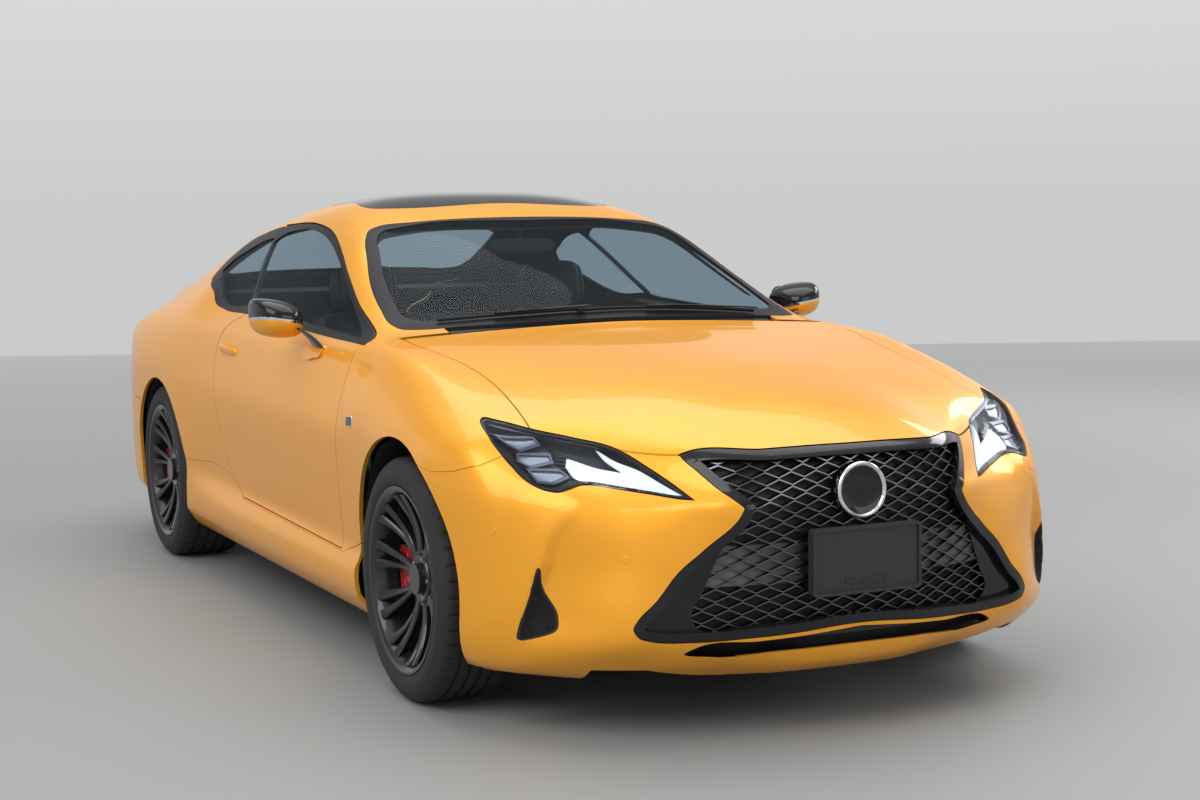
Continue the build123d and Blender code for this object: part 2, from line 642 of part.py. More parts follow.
# ---------------------------------------------------------------------- wheels
def rim(centre_x, width, hub_face_x):
    """A spoked rim with its hub and brake disc, on the left side, centred on Y = 0."""
    inner = centre_x - width / 2 + 5
    outer_x = centre_x + width / 2 - 5
    dish = outer_x - 8
    profile = [(inner, rim_flange_radius), (inner + 7, rim_flange_radius), (inner + 7, rim_bead_radius),
               (outer_x - 7, rim_bead_radius), (outer_x - 7, rim_flange_radius), (outer_x,
                                                                                  rim_flange_radius),
               (outer_x, rim_bead_radius - 10), (inner, rim_bead_radius - 10)]
    disc_x = hub_face_x - 62
    hub_profile = [(disc_x, 0), (disc_x, disc_radius), (disc_x + disc_thickness, disc_radius),
                   (disc_x + disc_thickness, hub_radius), (hub_face_x, hub_radius), (hub_face_x, 0)]
    spoke_profile = [(hub_face_x - 24, hub_radius - 8), (hub_face_x, hub_radius - 8),
                     (dish, rim_bead_radius - 4), (dish - 24, rim_bead_radius - 4)]
    with BuildPart() as wheel:
        for outline in (profile, hub_profile):
            with BuildSketch(Plane.XY):
                with BuildLine():
                    Polyline(*outline, close=True)
                make_face()
            revolve(axis=Axis.X)
        with BuildPart(mode=Mode.PRIVATE) as spokes:
            with BuildSketch(Plane.XY):
                with BuildLine():
                    Polyline(*spoke_profile, close=True)
                make_face()
            revolve(axis=Axis.X)
            with BuildPart(mode=Mode.INTERSECT):
                with BuildSketch(plane_x(600)):
                    with PolarLocations(rim_bead_radius / 2 + 20, spoke_count):
                        Rectangle(rim_bead_radius, 40)
                extrude(amount=400)
        add(spokes.part)
        Cylinder(spindle_radius + running_clearance, 4000, rotation=(0, 90, 0), mode=Mode.SUBTRACT)
    return wheel.part


def tyre(centre_x, width):
    """A plain tyre on its rim, on the left side, centred on Y = 0."""
    half = width / 2
    bead = half - 12
    profile = [(-bead, rim_bead_radius), (-bead, rim_flange_radius + 2), (-half + 4,
                                                                          rim_flange_radius + 14),
               (-half, 288), (-half + 10, 318),
               (-half + 34, tyre_radius), (half - 34, tyre_radius), (half - 10, 318), (half, 288),
               (half - 4, rim_flange_radius + 14), (bead, rim_flange_radius + 2), (bead, rim_bead_radius)]
    with BuildPart() as ring:
        with BuildSketch(Plane.XY):
            with BuildLine():
                Polyline(*[(centre_x + x, radius) for x, radius in profile], close=True)
            make_face()
        revolve(axis=Axis.X)
    return ring.part


for axle_name, axle_y, wheel_x, tyre_width, hub_face in (
        ("front", front_axle_y, front_wheel_x, front_tyre_width, front_hub_face_x),
        ("rear", rear_axle_y, rear_wheel_x, rear_tyre_width, rear_hub_face_x)):
    place = Location((0, axle_y, axle_z))
    left_rim = rim(wheel_x, tyre_width, hub_face).moved(place)
    left_tyre = tyre(wheel_x, tyre_width).moved(place)
    save(left_rim, f"{axle_name}_rim_left")
    save(mirrored(left_rim), f"{axle_name}_rim_right")
    save(left_tyre, f"{axle_name}_tyre_left")
    save(mirrored(left_tyre), f"{axle_name}_tyre_right")

# ---------------------------------------------------------------------- cabin
dash_door_gap = 10          # each end stands back from the door's swing
dash_side = [(-880, 640), (-880, 880), (-760, 945), (-600, 930), (-560, 860), (-600, 700), (-700, 620)]

console = along([(-590, tunnel_top_z), (-590, 650), (-420, 500), (0, 470), (300, 480),
                 (300, tunnel_top_z)], -110, 110)
save(console, "centre_console")

# steering column and wheel, both drawn along the tilted column
column_axis = Vector(0, cos(radians(steering_tilt)), sin(radians(steering_tilt)))
column_plane = Plane(origin=(steering_x, steering_y, steering_z), x_dir=(1, 0, 0), z_dir=column_axis)
with BuildPart() as column:
    with BuildSketch(column_plane.offset(-330)):
        Circle(32)
    extrude(amount=290)
    with BuildSketch(column_plane.offset(-150)):
        Circle(12 + running_clearance)
    extrude(amount=200, mode=Mode.SUBTRACT)
save(column.part, "steering_column")
dash_relief = block(pillar_x[0] - dash_door_gap, pillar_x[0] + 1, -790, -500, 600, 960)
dashboard = cut_from(along(dash_side, -pillar_x[0], pillar_x[0]), [cabin_void],
                     [column.part, dash_relief, mirrored(dash_relief)])
save(dashboard, "dashboard")
with BuildPart() as steering_wheel:
    with BuildSketch(Plane(origin=(steering_x, steering_y, steering_z), x_dir=column_axis,
                           z_dir=column_axis.cross(Vector(1, 0, 0)))):
        with Locations((0, steering_radius)):
            Circle(15)
    revolve(axis=Axis((steering_x, steering_y, steering_z), column_axis))
    with BuildSketch(column_plane.offset(-30)):
        Circle(60)
        Rectangle(2 * steering_radius, 34)
        with Locations((0, -steering_radius / 2)):
            Rectangle(34, steering_radius)
    extrude(amount=26)
    with BuildSketch(column_plane.offset(-140)):
        Circle(12)
    extrude(amount=120)
save(steering_wheel.part, "steering_wheel")

# seats
seat_x = 370


def seat(centre_x, half_width):
    """A front seat: cushion, back and head restraint in one piece on its rails."""
    cushion = [(-330, 420), (-300, 480), (170, 450), (330, 960), (450, 970), (330, 420), (200, 350),
               (-300, 340)]
    body = along(cushion, centre_x - half_width, centre_x + half_width)
    head = along([(395, 940), (350, 990), (370, 1130), (440, 1150), (480, 1010), (445, 940)],
                 centre_x - 125, centre_x + 125)
    base = block(centre_x - half_width + 40, centre_x + half_width - 40, -260, 200, floor_top_z + 20, 350)
    return joined(body, [head, base])


left_seat = seat(seat_x, 245)
save(Compound([left_seat, mirrored(left_seat)]), "front_seats")

bench_front_y = floor_rear_y - 280
bench_side = [(0, floor_top_z + 20), (0, 430), (40, 470), (390, 430), (630, 890), (720, 900), (700, 880),
              (510, 340), (300, 330), (260, floor_top_z + 20)]
rear_bench = along([(bench_front_y + y, z) for y, z in bench_side], -600, 600)
beam_gap = 5
beam_room = block(-kingpin_x, kingpin_x, rear_axle_y - 40 - beam_gap, rear_axle_y + 40 + beam_gap,
                  floor_z, boot_floor_z + beam_gap)
rear_bench = cut_from(rear_bench, [cabin_void],
                      [floor_pan, beam_room, rod(liner_ring_rear, liner_back_x, 1000, rear_axle_y, axle_z),
                       rod(liner_ring_rear, -1000, -liner_back_x, rear_axle_y, axle_z)])
save(rear_bench, "rear_seat")

shelf_z = (boot_hinge_z + 15, boot_hinge_z + 30)
shelf = cut_from(block(-760, 760, 1330, 1760, *shelf_z), [cabin_void], [])
shelf_ears = []
for ear in arm_ear_x:
    shelf_ears.append(along([(boot_hinge_y - 14, boot_hinge_z - 12), (boot_hinge_y + 14,
                                                                      boot_hinge_z - 12),
                             (boot_hinge_y + 30, shelf_z[0]), (boot_hinge_y - 30, shelf_z[0])], *ear))
boot_pin = rod(lid_pin_radius, arm_ear_x[0][0], arm_ear_x[1][1], boot_hinge_y, boot_hinge_z)
boot_hinge = joined(shelf_ears[0], [shelf_ears[1], boot_pin])
parcel_shelf = joined(shelf, [boot_hinge, mirrored(boot_hinge)])
save(parcel_shelf, "parcel_shelf")

# number plate holder, with the two screw holes of a plate
plate_half_width = 158
plate_z = (370, 538)
plate_screw_spacing = 178
plate_screw_radius = 3
plate_screw_z = 500
with BuildPart() as plate_holder:
    add(block(-plate_half_width, plate_half_width, nose_y - plate_depth, nose_y + 8, *plate_z))
    add(outer, mode=Mode.SUBTRACT)
    with BuildSketch(plane_y(nose_y - plate_depth)):
        with Locations((-plate_screw_spacing / 2, plate_screw_z), (plate_screw_spacing / 2,
                                                                   plate_screw_z)):
            Circle(plate_screw_radius)
    extrude(amount=-12, mode=Mode.SUBTRACT)
save(plate_holder.part, "number_plate_holder")

# exhaust: a pipe under the floor, a silencer across the tail and two tips
pipe_radius = 26
pipe_front_y = -700
silencer_y = (tail_y - 517.5, tail_y - 287.5)
with BuildPart() as exhaust:
    add(block(-330, 330, *silencer_y, 205, boot_floor_z))
    for side in (-1, 1):
        with BuildSketch(plane_y(tail_y - 25)):
            with Locations((side * exhaust_x, exhaust_z)):
                Circle(exhaust_radius)
        extrude(amount=300)
    add(block(-pipe_radius, pipe_radius, silencer_y[0] - 30, silencer_y[0] + 20, floor_z - 28, 240))
    with BuildSketch(plane_y(silencer_y[0])):
        with Locations((0, floor_z - 2)):
            Circle(pipe_radius)
    extrude(amount=silencer_y[0] - pipe_front_y)
save(exhaust.part, "exhaust")

# inside mirror, hung from the front edge of the roof
mirror_stem = block(-12, 12, -168, -148, 1215, 1300)
inner_mirror = cut_from(joined(block(-125, 125, -190, -166, 1175, 1235), [mirror_stem]), [cabin_void], [])
save(inner_mirror, "inside_mirror")
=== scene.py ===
import bpy
import bmesh
import math
import numpy as np
from mathutils import Matrix, Vector
from mathutils.bvhtree import BVHTree


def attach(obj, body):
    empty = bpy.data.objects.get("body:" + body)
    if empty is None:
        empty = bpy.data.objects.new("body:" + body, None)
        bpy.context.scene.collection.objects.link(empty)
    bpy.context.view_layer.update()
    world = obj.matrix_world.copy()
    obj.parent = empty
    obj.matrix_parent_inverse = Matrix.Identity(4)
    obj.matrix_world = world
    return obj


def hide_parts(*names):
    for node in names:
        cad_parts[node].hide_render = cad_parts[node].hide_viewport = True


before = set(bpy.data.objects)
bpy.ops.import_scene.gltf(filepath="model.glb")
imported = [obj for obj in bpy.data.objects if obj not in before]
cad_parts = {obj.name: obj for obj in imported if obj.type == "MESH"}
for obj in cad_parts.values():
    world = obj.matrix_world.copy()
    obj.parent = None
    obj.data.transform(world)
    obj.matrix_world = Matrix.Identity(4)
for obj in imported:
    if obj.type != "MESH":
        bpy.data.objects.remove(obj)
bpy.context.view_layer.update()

# ---------------------------------------------------------------- body sections
# y of the section and z of its top, then (x, z) of each corner from the roof down, in millimetres:
# crown, rail, belt, shoulder, upper side, waist, lower side, tuck, lip, sill; last the half width of the bottom
ROWS = [
    (-2420, 665, (250, 655), (413, 630), (560, 612), (700, 585), (755, 562), (800, 540), (806, 480), (806, 345),
     (806, 320), (805, 300), 700),
    (-2100, 812, (250, 790), (413, 745), (590, 706), (760, 655), (842, 630), (885, 600), (890, 480), (892, 345),
     (892, 310), (890, 290), 800),
    (-1790, 880, (250, 868), (480, 838), (695, 801), (800, 772), (872, 724), (908, 665), (912, 480), (914, 345),
     (914, 300), (912, 270), 840),
    (-1422, 930, (250, 924), (500, 910), (692, 891), (803, 874), (886, 795), (920, 690), (922, 480), (920, 345),
     (918, 300), (916, 250), 850),
    (-1060, 968, (250, 964), (520, 955), (720, 946), (806, 932), (884, 805), (904, 690), (893, 480), (882, 350),
     (904, 300), (902, 230), 850),
    (-960, 985, (300, 977), (600, 963), (742, 954), (812, 932), (882, 800), (902, 690), (889, 480), (877, 348),
     (903, 300), (900, 230), 850),
    (-860, 1026, (400, 1004), (672, 974), (782, 948), (830, 925), (878, 795), (900, 690), (886, 480), (874, 348),
     (903, 300), (900, 230), 850),
    (-500, 1180, (400, 1156), (655, 1098), (796, 945), (842, 920), (879, 795), (898, 690), (883, 480), (870, 352),
     (902, 302), (900, 230), 850),
    (-168, 1303, (400, 1288), (590, 1248), (802, 956), (846, 928), (880, 800), (897, 690), (881, 480), (868, 356),
     (902, 304), (900, 230), 850),
    (288, 1395, (400, 1368), (562, 1308), (806, 970), (850, 938), (882, 805), (896, 690), (880, 480), (868, 362),
     (902, 306), (900, 230), 850),
    (700, 1378, (400, 1349), (568, 1284), (806, 980), (860, 940), (889, 805), (900, 680), (892, 480), (882, 380),
     (904, 310), (900, 230), 850),
    (1100, 1308, (400, 1286), (566, 1240), (752, 1066), (880, 930), (912, 805), (922, 690), (920, 480), (912, 400),
     (908, 320), (905, 230), 850),
    (1500, 1200, (400, 1186), (570, 1150), (735, 1032), (880, 915), (918, 800), (926, 690), (925, 480), (918, 400),
     (912, 320), (910, 240), 850),
    (1860, 1086, (420, 1076), (600, 1048), (725, 968), (858, 890), (900, 785), (912, 690), (910, 480), (905, 400),
     (902, 320), (900, 250), 820),
    (2120, 1058, (420, 1048), (590, 1020), (710, 905), (830, 850), (872, 762), (890, 680), (888, 480), (885, 400),
     (882, 330), (880, 270), 780),
    (2420, 1040, (420, 1028), (570, 990), (690, 870), (780, 800), (825, 730), (850, 660), (848, 480), (845, 400),
     (835, 340), (830, 300), 700),
]
FLOOR_Z = 160.0
# how sharp a section's corners are at each of these y, by the corner's place in its row from the roof down:
# 2 rail, 3 belt, 4 shoulder, 8 tuck, 9 lip, 10 sill, 11 bottom; the others are smooth
CREASE_Y = (-2420, -1800, -1100, -900, -600, 500, 900, 1300, 1700, 2420)
CREASES = {
    2: (0.35, 0.5, 0.45, 0.2, 0.1, 0.1, 0.1, 0.1, 0.1, 0.2),
    3: (0.0, 0.1, 0.15, 0.8, 1.0, 1.0, 0.7, 0.3, 0.2, 0.1),
    4: (0.2, 0.25, 0.2, 0.2, 0.25, 0.3, 0.35, 0.4, 0.5, 0.3),
    8: (0.0, 0.0, 0.5, 0.7, 0.8, 0.8, 0.5, 0.1, 0.0, 0.0),
    9: (0.2, 0.2, 0.6, 0.8, 0.8, 0.8, 0.6, 0.3, 0.3, 0.3),
    10: (0.7,) * 10,
    11: (0.8,) * 10,
}
NOSE_Y, TAIL_Y = -2331.5, 2347.5
# how far the front face lies behind its foremost point: rows by z, columns by half width
FRONT_X = (0, 150, 332, 413, 500, 572, 705, 800, 880, 925, 960, 1050)
FRONT = {
    100: (190, 200, 240, 260, 300, 340, 430, 520, 620, 720, 920, 1300),
    150: (120, 130, 190, 210, 240, 270, 360, 450, 560, 690, 900, 1300),
    200: (40, 52, 110, 132, 160, 195, 285, 380, 520, 665, 900, 1300),
    288: (14, 22, 62, 80, 98, 118, 225, 345, 505, 660, 900, 1300),
    430: (0, 8, 50, 74, 104, 136, 232, 350, 505, 660, 900, 1300),
    595: (8, 14, 44, 92, 146, 186, 262, 370, 510, 660, 900, 1300),
    640: (14, 22, 72, 130, 192, 234, 290, 395, 520, 665, 900, 1300),
    722: (30, 44, 118, 196, 276, 332, 410, 470, 560, 690, 900, 1300),
    790: (66, 84, 190, 286, 368, 420, 484, 540, 620, 740, 940, 1300),
    900: (170, 190, 320, 420, 500, 560, 640, 700, 790, 890, 1050, 1300),
}
REAR_X = (0, 330, 620, 790, 870, 925, 960, 1050)
REAR = {
    100: (260, 280, 340, 430, 560, 760, 1000, 1400),
    200: (120, 138, 200, 300, 440, 680, 940, 1400),
    290: (30, 48, 110, 214, 364, 650, 910, 1400),
    420: (0, 18, 78, 180, 330, 640, 900, 1400),
    640: (0, 18, 78, 180, 330, 640, 900, 1400),
    730: (26, 44, 100, 196, 344, 650, 900, 1400),
    820: (34, 52, 110, 208, 360, 660, 910, 1400),
    960: (30, 50, 116, 226, 390, 690, 930, 1400),
    1040: (14, 36, 110, 236, 420, 710, 950, 1400),
    1100: (30, 56, 140, 270, 460, 750, 1000, 1400),
}


def hermite(t, t3, length, start, start_slope, end, end_slope):
    """A point on a cubic piece, from its ends and slopes; t3 is the cube of t."""
    t2 = t * t
    return ((2 * t3 - 3 * t2 + 1) * start + (t3 - 2 * t2 + t) * length * start_slope
            + (3 * t2 - 2 * t3) * end + (t3 - t2) * length * end_slope)


def bilinear(values, i, j, u, v):
    """Values between four neighbours of a grid."""
    return ((values[i, j] * (1 - u) + values[i + 1, j] * u) * (1 - v)
            + (values[i, j + 1] * (1 - u) + values[i + 1, j + 1] * u) * v)


def cubic(xs, ys, at):
    """Smooth interpolation through points, without overshoot."""
    xs, ys, at = np.asarray(xs, float), np.asarray(ys, float), np.asarray(at, float)
    h = np.diff(xs)
    step = np.diff(ys, axis=0) / h.reshape(-1, *[1] * (ys.ndim - 1))
    slope = np.empty_like(ys)
    slope[0], slope[-1] = step[0], step[-1]
    a, b = step[:-1], step[1:]
    w = (h[1:] / (h[1:] + h[:-1])).reshape(-1, *[1] * (ys.ndim - 1))
    slope[1:-1] = a * w + b * (1 - w)
    limit = 2.2 * np.minimum(abs(a), abs(b))
    slope[1:-1] = np.where(a * b <= 0, slope[1:-1] * 0.25, np.clip(slope[1:-1], -limit - 1e-9, limit + 1e-9))
    i = np.clip(np.searchsorted(xs, at) - 1, 0, len(xs) - 2)
    t = ((at - xs[i]) / h[i]).reshape(-1, *[1] * (ys.ndim - 1))
    hh = h[i].reshape(t.shape)
    return hermite(t, t * t * t, hh, ys[i], slope[i], ys[i + 1], slope[i + 1])


def section(row, sharp, per=14):
    """One half section as a dense line from the roof's centre to the underside's centre."""
    p = row.reshape(-1, 2)
    n = len(p)
    ext = np.vstack([[-p[1, 0], p[1, 1]], p, [-p[-2, 0], p[-2, 1]]])
    length = np.linalg.norm(np.diff(ext, axis=0), axis=1) ** 0.6
    out = []
    tan_in, tan_out = np.zeros_like(p), np.zeros_like(p)
    for k in range(n):
        a, b = ext[k + 1] - ext[k], ext[k + 2] - ext[k + 1]
        la, lb = length[k], length[k + 1]
        smooth = (a / la * lb + b / lb * la) / (la + lb)
        tan_in[k] = (smooth * (1 - sharp[k]) + a / la * sharp[k])
        tan_out[k] = (smooth * (1 - sharp[k]) + b / lb * sharp[k])
    t = np.linspace(0, 1, per, endpoint=False)[:, None]
    for k in range(n - 1):
        out.append(hermite(t, t ** 3, length[k + 1], p[k], tan_out[k], p[k + 1], tan_in[k + 1]))
    out.append(p[-1:])
    return np.vstack(out)


CORE_Z = 520.0
row_y = np.array([r[0] for r in ROWS], float)
row_points = np.array([[0, r[1], *[c for pt in r[2:12] for c in pt], r[12], FLOOR_Z, 0, FLOOR_Z] for r in ROWS],
                      float)
GRID_Y = np.linspace(-2420, 2420, 606)
fine = cubic(row_y, row_points, GRID_Y)
sharp = np.zeros((len(GRID_Y), 13))
for corner, values in CREASES.items():
    sharp[:, corner] = np.interp(GRID_Y, CREASE_Y, values)
ANGLES = np.radians(np.linspace(0, 180, 721))
RADII = np.zeros((len(GRID_Y), len(ANGLES)))
for i in range(len(GRID_Y)):
    line = section(fine[i], sharp[i])
    ang = np.maximum.accumulate(np.arctan2(line[:, 0], line[:, 1] - CORE_Z))
    RADII[i] = np.interp(ANGLES, ang, np.hypot(line[:, 0], line[:, 1] - CORE_Z))


def table(grid, columns, x, z):
    """Smooth lookup in a table of depths by half width and height."""
    heights = np.array(sorted(grid), float)
    values = np.array([grid[k] for k in sorted(grid)], float)
    zz = np.linspace(heights[0], heights[-1], 201)
    xx = np.linspace(columns[0], columns[-1], 211)
    dense = cubic(columns, cubic(heights, values, zz).T, xx).T
    fx = np.clip((x - xx[0]) / (xx[1] - xx[0]), 0, len(xx) - 1.001)
    fz = np.clip((z - zz[0]) / (zz[1] - zz[0]), 0, len(zz) - 1.001)
    i, j = fz.astype(int), fx.astype(int)
    u, v = fz - i, fx - j
    return bilinear(dense, i, j, u, v)


def tube(x, y, z):
    """How far a point lies outside the side and roof surface."""
    r = np.hypot(x, z - CORE_Z)
    a = np.arctan2(np.abs(x), z - CORE_Z) / math.pi * (len(ANGLES) - 1)
    g = np.clip((y - GRID_Y[0]) / (GRID_Y[1] - GRID_Y[0]), 0, len(GRID_Y) - 1.001)
    i, j = g.astype(int), np.clip(a.astype(int), 0, len(ANGLES) - 2)
    u, v = g - i, a - j
    return r - bilinear(RADII, i, j, u, v)


def smooth_max(a, b, k):
    """The greater of two values, rounded over where they are within k of one another."""
    h = np.clip(0.5 + 0.5 * (a - b) / k, 0, 1)
    return b * (1 - h) + a * h + k * h * (1 - h)


# the front bumper's fold, from the lip up past the vent's outer side to below the lamp:
# z, half width, depth inboard of it
FOLD = np.array([(230, 800, 0), (262, 798, 5), (290, 797, 18), (334, 788, 29), (390, 775, 30), (430, 765, 28),
                 (457, 754, 25), (505, 743, 17), (556, 722, 8), (600, 680, 2), (625, 650, 0)], float)
FOLD_Z = np.linspace(230, 625, 159)
FOLD_LINE = cubic(FOLD[:, 0], FOLD[:, 1:], FOLD_Z)


def scoop(ax, z):
    """The hollow inboard of the bumper's fold, and the ridge outboard of it."""
    line = np.interp(z, FOLD_Z, FOLD_LINE[:, 0])
    deep = np.interp(z, FOLD_Z, FOLD_LINE[:, 1])
    step = np.clip((line - ax) / 24, 0, 1)
    fade = np.clip((line - ax - 30) / 240, 0, 1)
    ridge = np.exp(-((ax - line - 14) / 34) ** 2)
    return deep * (step * step * (3 - 2 * step) * (1 - fade * fade * (3 - 2 * fade)) - 0.3 * ridge)


def front_y(x, z):
    """Y of the front face at a point seen from ahead."""
    ax = np.abs(x)
    return NOSE_Y + table(FRONT, FRONT_X, ax, z) + scoop(ax, z)


def rear_y(x, z):
    """Y of the rear face at a point seen from behind."""
    return TAIL_Y - table(REAR, REAR_X, np.abs(x), z)


def outside(p):
    """How far points lie outside the whole body; the edges to the front and the rear face are rounded."""
    x, y, z = p[..., 0], p[..., 1], p[..., 2]
    t = tube(x, y, z)
    edge = 16 + 70 * np.clip((np.abs(x) - 560) / 250, 0, 1) * np.clip((760 - z) / 100, 0, 1)
    f = smooth_max(t, front_y(x, z) - y, edge)
    edge = 14 + 50 * np.clip((np.abs(x) - 620) / 200, 0, 1)
    return smooth_max(f, y - rear_y(x, z), edge)


def edited(mesh, change, out=None):
    """Runs a change on a mesh's faces and writes the result back, or into another mesh."""
    bm = bmesh.new()
    bm.from_mesh(mesh)
    change(bm)
    bm.to_mesh(out or mesh)
    bm.free()
    return out or mesh


def face_outwards(bm):
    bmesh.ops.recalc_face_normals(bm, faces=bm.faces)


def into_triangles(bm):
    bmesh.ops.triangulate(bm, faces=bm.faces)


# the line inside the car from which the skin is found along rays: its ends, and the rays' greatest length
SPINE = (-1500.0, 1500.0)
RAY = 1700.0
# rays round the car, and rows of them at the front, in the middle and at the rear
FINE, COARSE, BROAD = (240, 104, 230, 74), (150, 64, 136, 46), (150, 60, 130, 44)


def grow_surface(rings, front_rows, middle_rows, rear_rows, inset=0.0):
    """The closed body surface as a mesh, found along rays from the middle of the car."""
    starts, dirs = [], []
    around = np.linspace(0, 2 * math.pi, rings, endpoint=False)
    ring = np.stack([np.sin(around), np.zeros(rings), np.cos(around)], 1)

    def add_row(y, lean, way):
        starts.append(np.tile([0, y, CORE_Z], (rings, 1)))
        dirs.append(ring * math.cos(lean) + np.array([0, way * math.sin(lean), 0]))
    for k in range(1, front_rows):
        add_row(SPINE[0], math.pi / 2 * (1 - k / front_rows), -1)
    for y in np.linspace(*SPINE, middle_rows):
        add_row(y, 0.0, 1)
    for k in range(1, rear_rows):
        add_row(SPINE[1], math.pi / 2 * k / rear_rows, 1)
    starts = np.vstack(starts + [[[0, SPINE[0], CORE_Z]], [[0, SPINE[1], CORE_Z]]])
    dirs = np.vstack(dirs + [[[0, -1, 0]], [[0, 1, 0]]])
    low, high = np.zeros(len(starts)), np.full(len(starts), RAY)
    for _ in range(34):
        mid = (low + high) / 2
        out = outside(starts + dirs * mid[:, None]) > -inset
        high = np.where(out, mid, high)
        low = np.where(out, low, mid)
    points = (starts + dirs * low[:, None]) / 1000
    rows = (len(points) - 2) // rings
    i, j = np.meshgrid(np.arange(rows - 1), np.arange(rings), indexing="ij")
    k = (j + 1) % rings
    quads = np.stack([i * rings + j, i * rings + k, (i + 1) * rings + k, (i + 1) * rings + j], -1).reshape(-1, 4)
    faces = quads[:, ::-1].tolist()
    faces += [(len(points) - 2, (j + 1) % rings, j) for j in range(rings)]
    last = (rows - 1) * rings
    faces += [(len(points) - 1, last + j, last + (j + 1) % rings) for j in range(rings)]
    mesh = bpy.data.meshes.new("surface")
    mesh.from_pydata(points.tolist(), [], faces)
    mesh.update()
    return edited(mesh, face_outwards)


# ---------------------------------------------------------------- materials
def add_node(tree, kind, options=None, **values):
    """A new node with its options and input values set."""
    made = tree.nodes.new("ShaderNode" + kind)
    for name, value in (options or {}).items():
        setattr(made, name, value)
    set_inputs(made, **values)
    return made


def set_inputs(made, **values):
    """Sets a node's input values; an underscore stands for a space in an input's name."""
    for name, value in values.items():
        made.inputs[name.replace("_", " ")].default_value = value


def join(tree, source, output, target, socket):
    """Links one node's output to another node's input."""
    tree.links.new(source.outputs[output], target.inputs[socket])


def material(name, color, rough=0.4, metal=0.0, coat=0.0, grain=(400, 0.05), mottle=(6, 0.06), glow=0.0,
             sheen=0.0, stretch=(1, 1, 1), specular=0.5):
    """A node material with fine grain in its surface and a slow change of tone and gloss."""
    mat = bpy.data.materials.new(name)
    mat.use_nodes = True
    tree = mat.node_tree
    shader = tree.nodes["Principled BSDF"]
    set_inputs(shader, Metallic=metal, Coat_Weight=coat, Coat_Roughness=0.04, Specular_IOR_Level=specular)
    if sheen:
        set_inputs(shader, Sheen_Weight=sheen)
    if glow:
        set_inputs(shader, Emission_Color=(*color, 1), Emission_Strength=glow)
    scale = add_node(tree, "Mapping", Scale=stretch)
    join(tree, add_node(tree, "TexCoord"), "Object", scale, "Vector")
    slow = add_node(tree, "TexNoise", Scale=mottle[0], Detail=4)
    join(tree, scale, "Vector", slow, "Vector")
    tone = add_node(tree, "Mix", {"data_type": "RGBA"}, A=(*[c * (1 - mottle[1]) for c in color], 1),
                    B=(*[min(1, c * (1 + mottle[1])) for c in color], 1))
    join(tree, slow, "Fac", tone, "Factor")
    join(tree, tone, "Result", shader, "Base Color")
    gloss = add_node(tree, "MapRange", To_Min=max(0.0, rough * (1 - 2 * mottle[1])),
                     To_Max=min(1.0, rough * (1 + 2 * mottle[1])))
    join(tree, slow, "Fac", gloss, "Value")
    join(tree, gloss, "Result", shader, "Roughness")
    if grain[1]:
        fine = add_node(tree, "TexNoise", Scale=grain[0], Detail=3)
        join(tree, scale, "Vector", fine, "Vector")
        relief = add_node(tree, "Bump", Strength=grain[1], Distance=0.0006)
        join(tree, fine, "Fac", relief, "Height")
        join(tree, relief, "Normal", shader, "Normal")
    return mat


def paint_material():
    """Pearl orange under clear coat, with fine bright flakes."""
    mat = material("orange_paint", (0.97, 0.41, 0.022), rough=0.38, coat=0.45, grain=(1200, 0.0), mottle=(2, 0.02),
                   specular=0.25)
    tree = mat.node_tree
    shader = tree.nodes["Principled BSDF"]
    cells = add_node(tree, "TexVoronoi", Scale=900)
    join(tree, add_node(tree, "TexCoord"), "Object", cells, "Vector")
    pick = add_node(tree, "SeparateColor")
    join(tree, cells, "Color", pick, "Color")
    share = add_node(tree, "MapRange", To_Min=0.2, To_Max=0.55)
    join(tree, pick, "Red", share, "Value")
    join(tree, share, "Result", shader, "Metallic")
    set_inputs(shader, Coat_Roughness=0.03)
    return mat


ORANGE = paint_material()
UNDER = material("panel_underside", (0.035, 0.03, 0.028), rough=0.7, grain=(90, 0.2))
GLOSS = material("black_trim", (0.008, 0.008, 0.010), rough=0.12, coat=0.25, grain=(60, 0.01), mottle=(5, 0.2),
                 specular=0.3)
PLASTIC = material("dark_plastic", (0.022, 0.022, 0.025), rough=0.55, grain=(900, 0.25))
SATIN = material("satin_black", (0.010, 0.010, 0.012), rough=0.42, grain=(700, 0.05), specular=0.2)
LINER = material("wheel_arch_plastic", (0.012, 0.012, 0.013), rough=0.85, grain=(260, 0.6), mottle=(9, 0.3))
CHROME = material("bright_trim", (0.78, 0.79, 0.80), rough=0.12, metal=1.0, grain=(300, 0.01))
DARK_CHROME = material("dark_bright_trim", (0.14, 0.145, 0.16), rough=0.22, metal=1.0, grain=(300, 0.01))
RIM = material("black_rim", (0.018, 0.018, 0.020), rough=0.30, metal=0.35, coat=0.5, grain=(700, 0.03))
TYRE = material("tyre", (0.022, 0.021, 0.020), rough=0.82, grain=(500, 0.35), mottle=(12, 0.15))
STEEL = material("steel", (0.38, 0.38, 0.39), rough=0.35, metal=1.0, grain=(500, 0.1), stretch=(4, 1, 1))
BRAKE = material("brake_steel", (0.20, 0.20, 0.205), rough=0.42, metal=1.0, grain=(160, 0.15), stretch=(6, 1, 1))
CAST = material("cast_metal", (0.16, 0.16, 0.165), rough=0.6, metal=0.7, grain=(240, 0.5))
CALIPER = material("caliper_red", (0.45, 0.012, 0.010), rough=0.35, coat=0.6, grain=(300, 0.1))
LEATHER = material("seat_leather", (0.016, 0.015, 0.016), rough=0.5, grain=(650, 0.12), sheen=0.1)
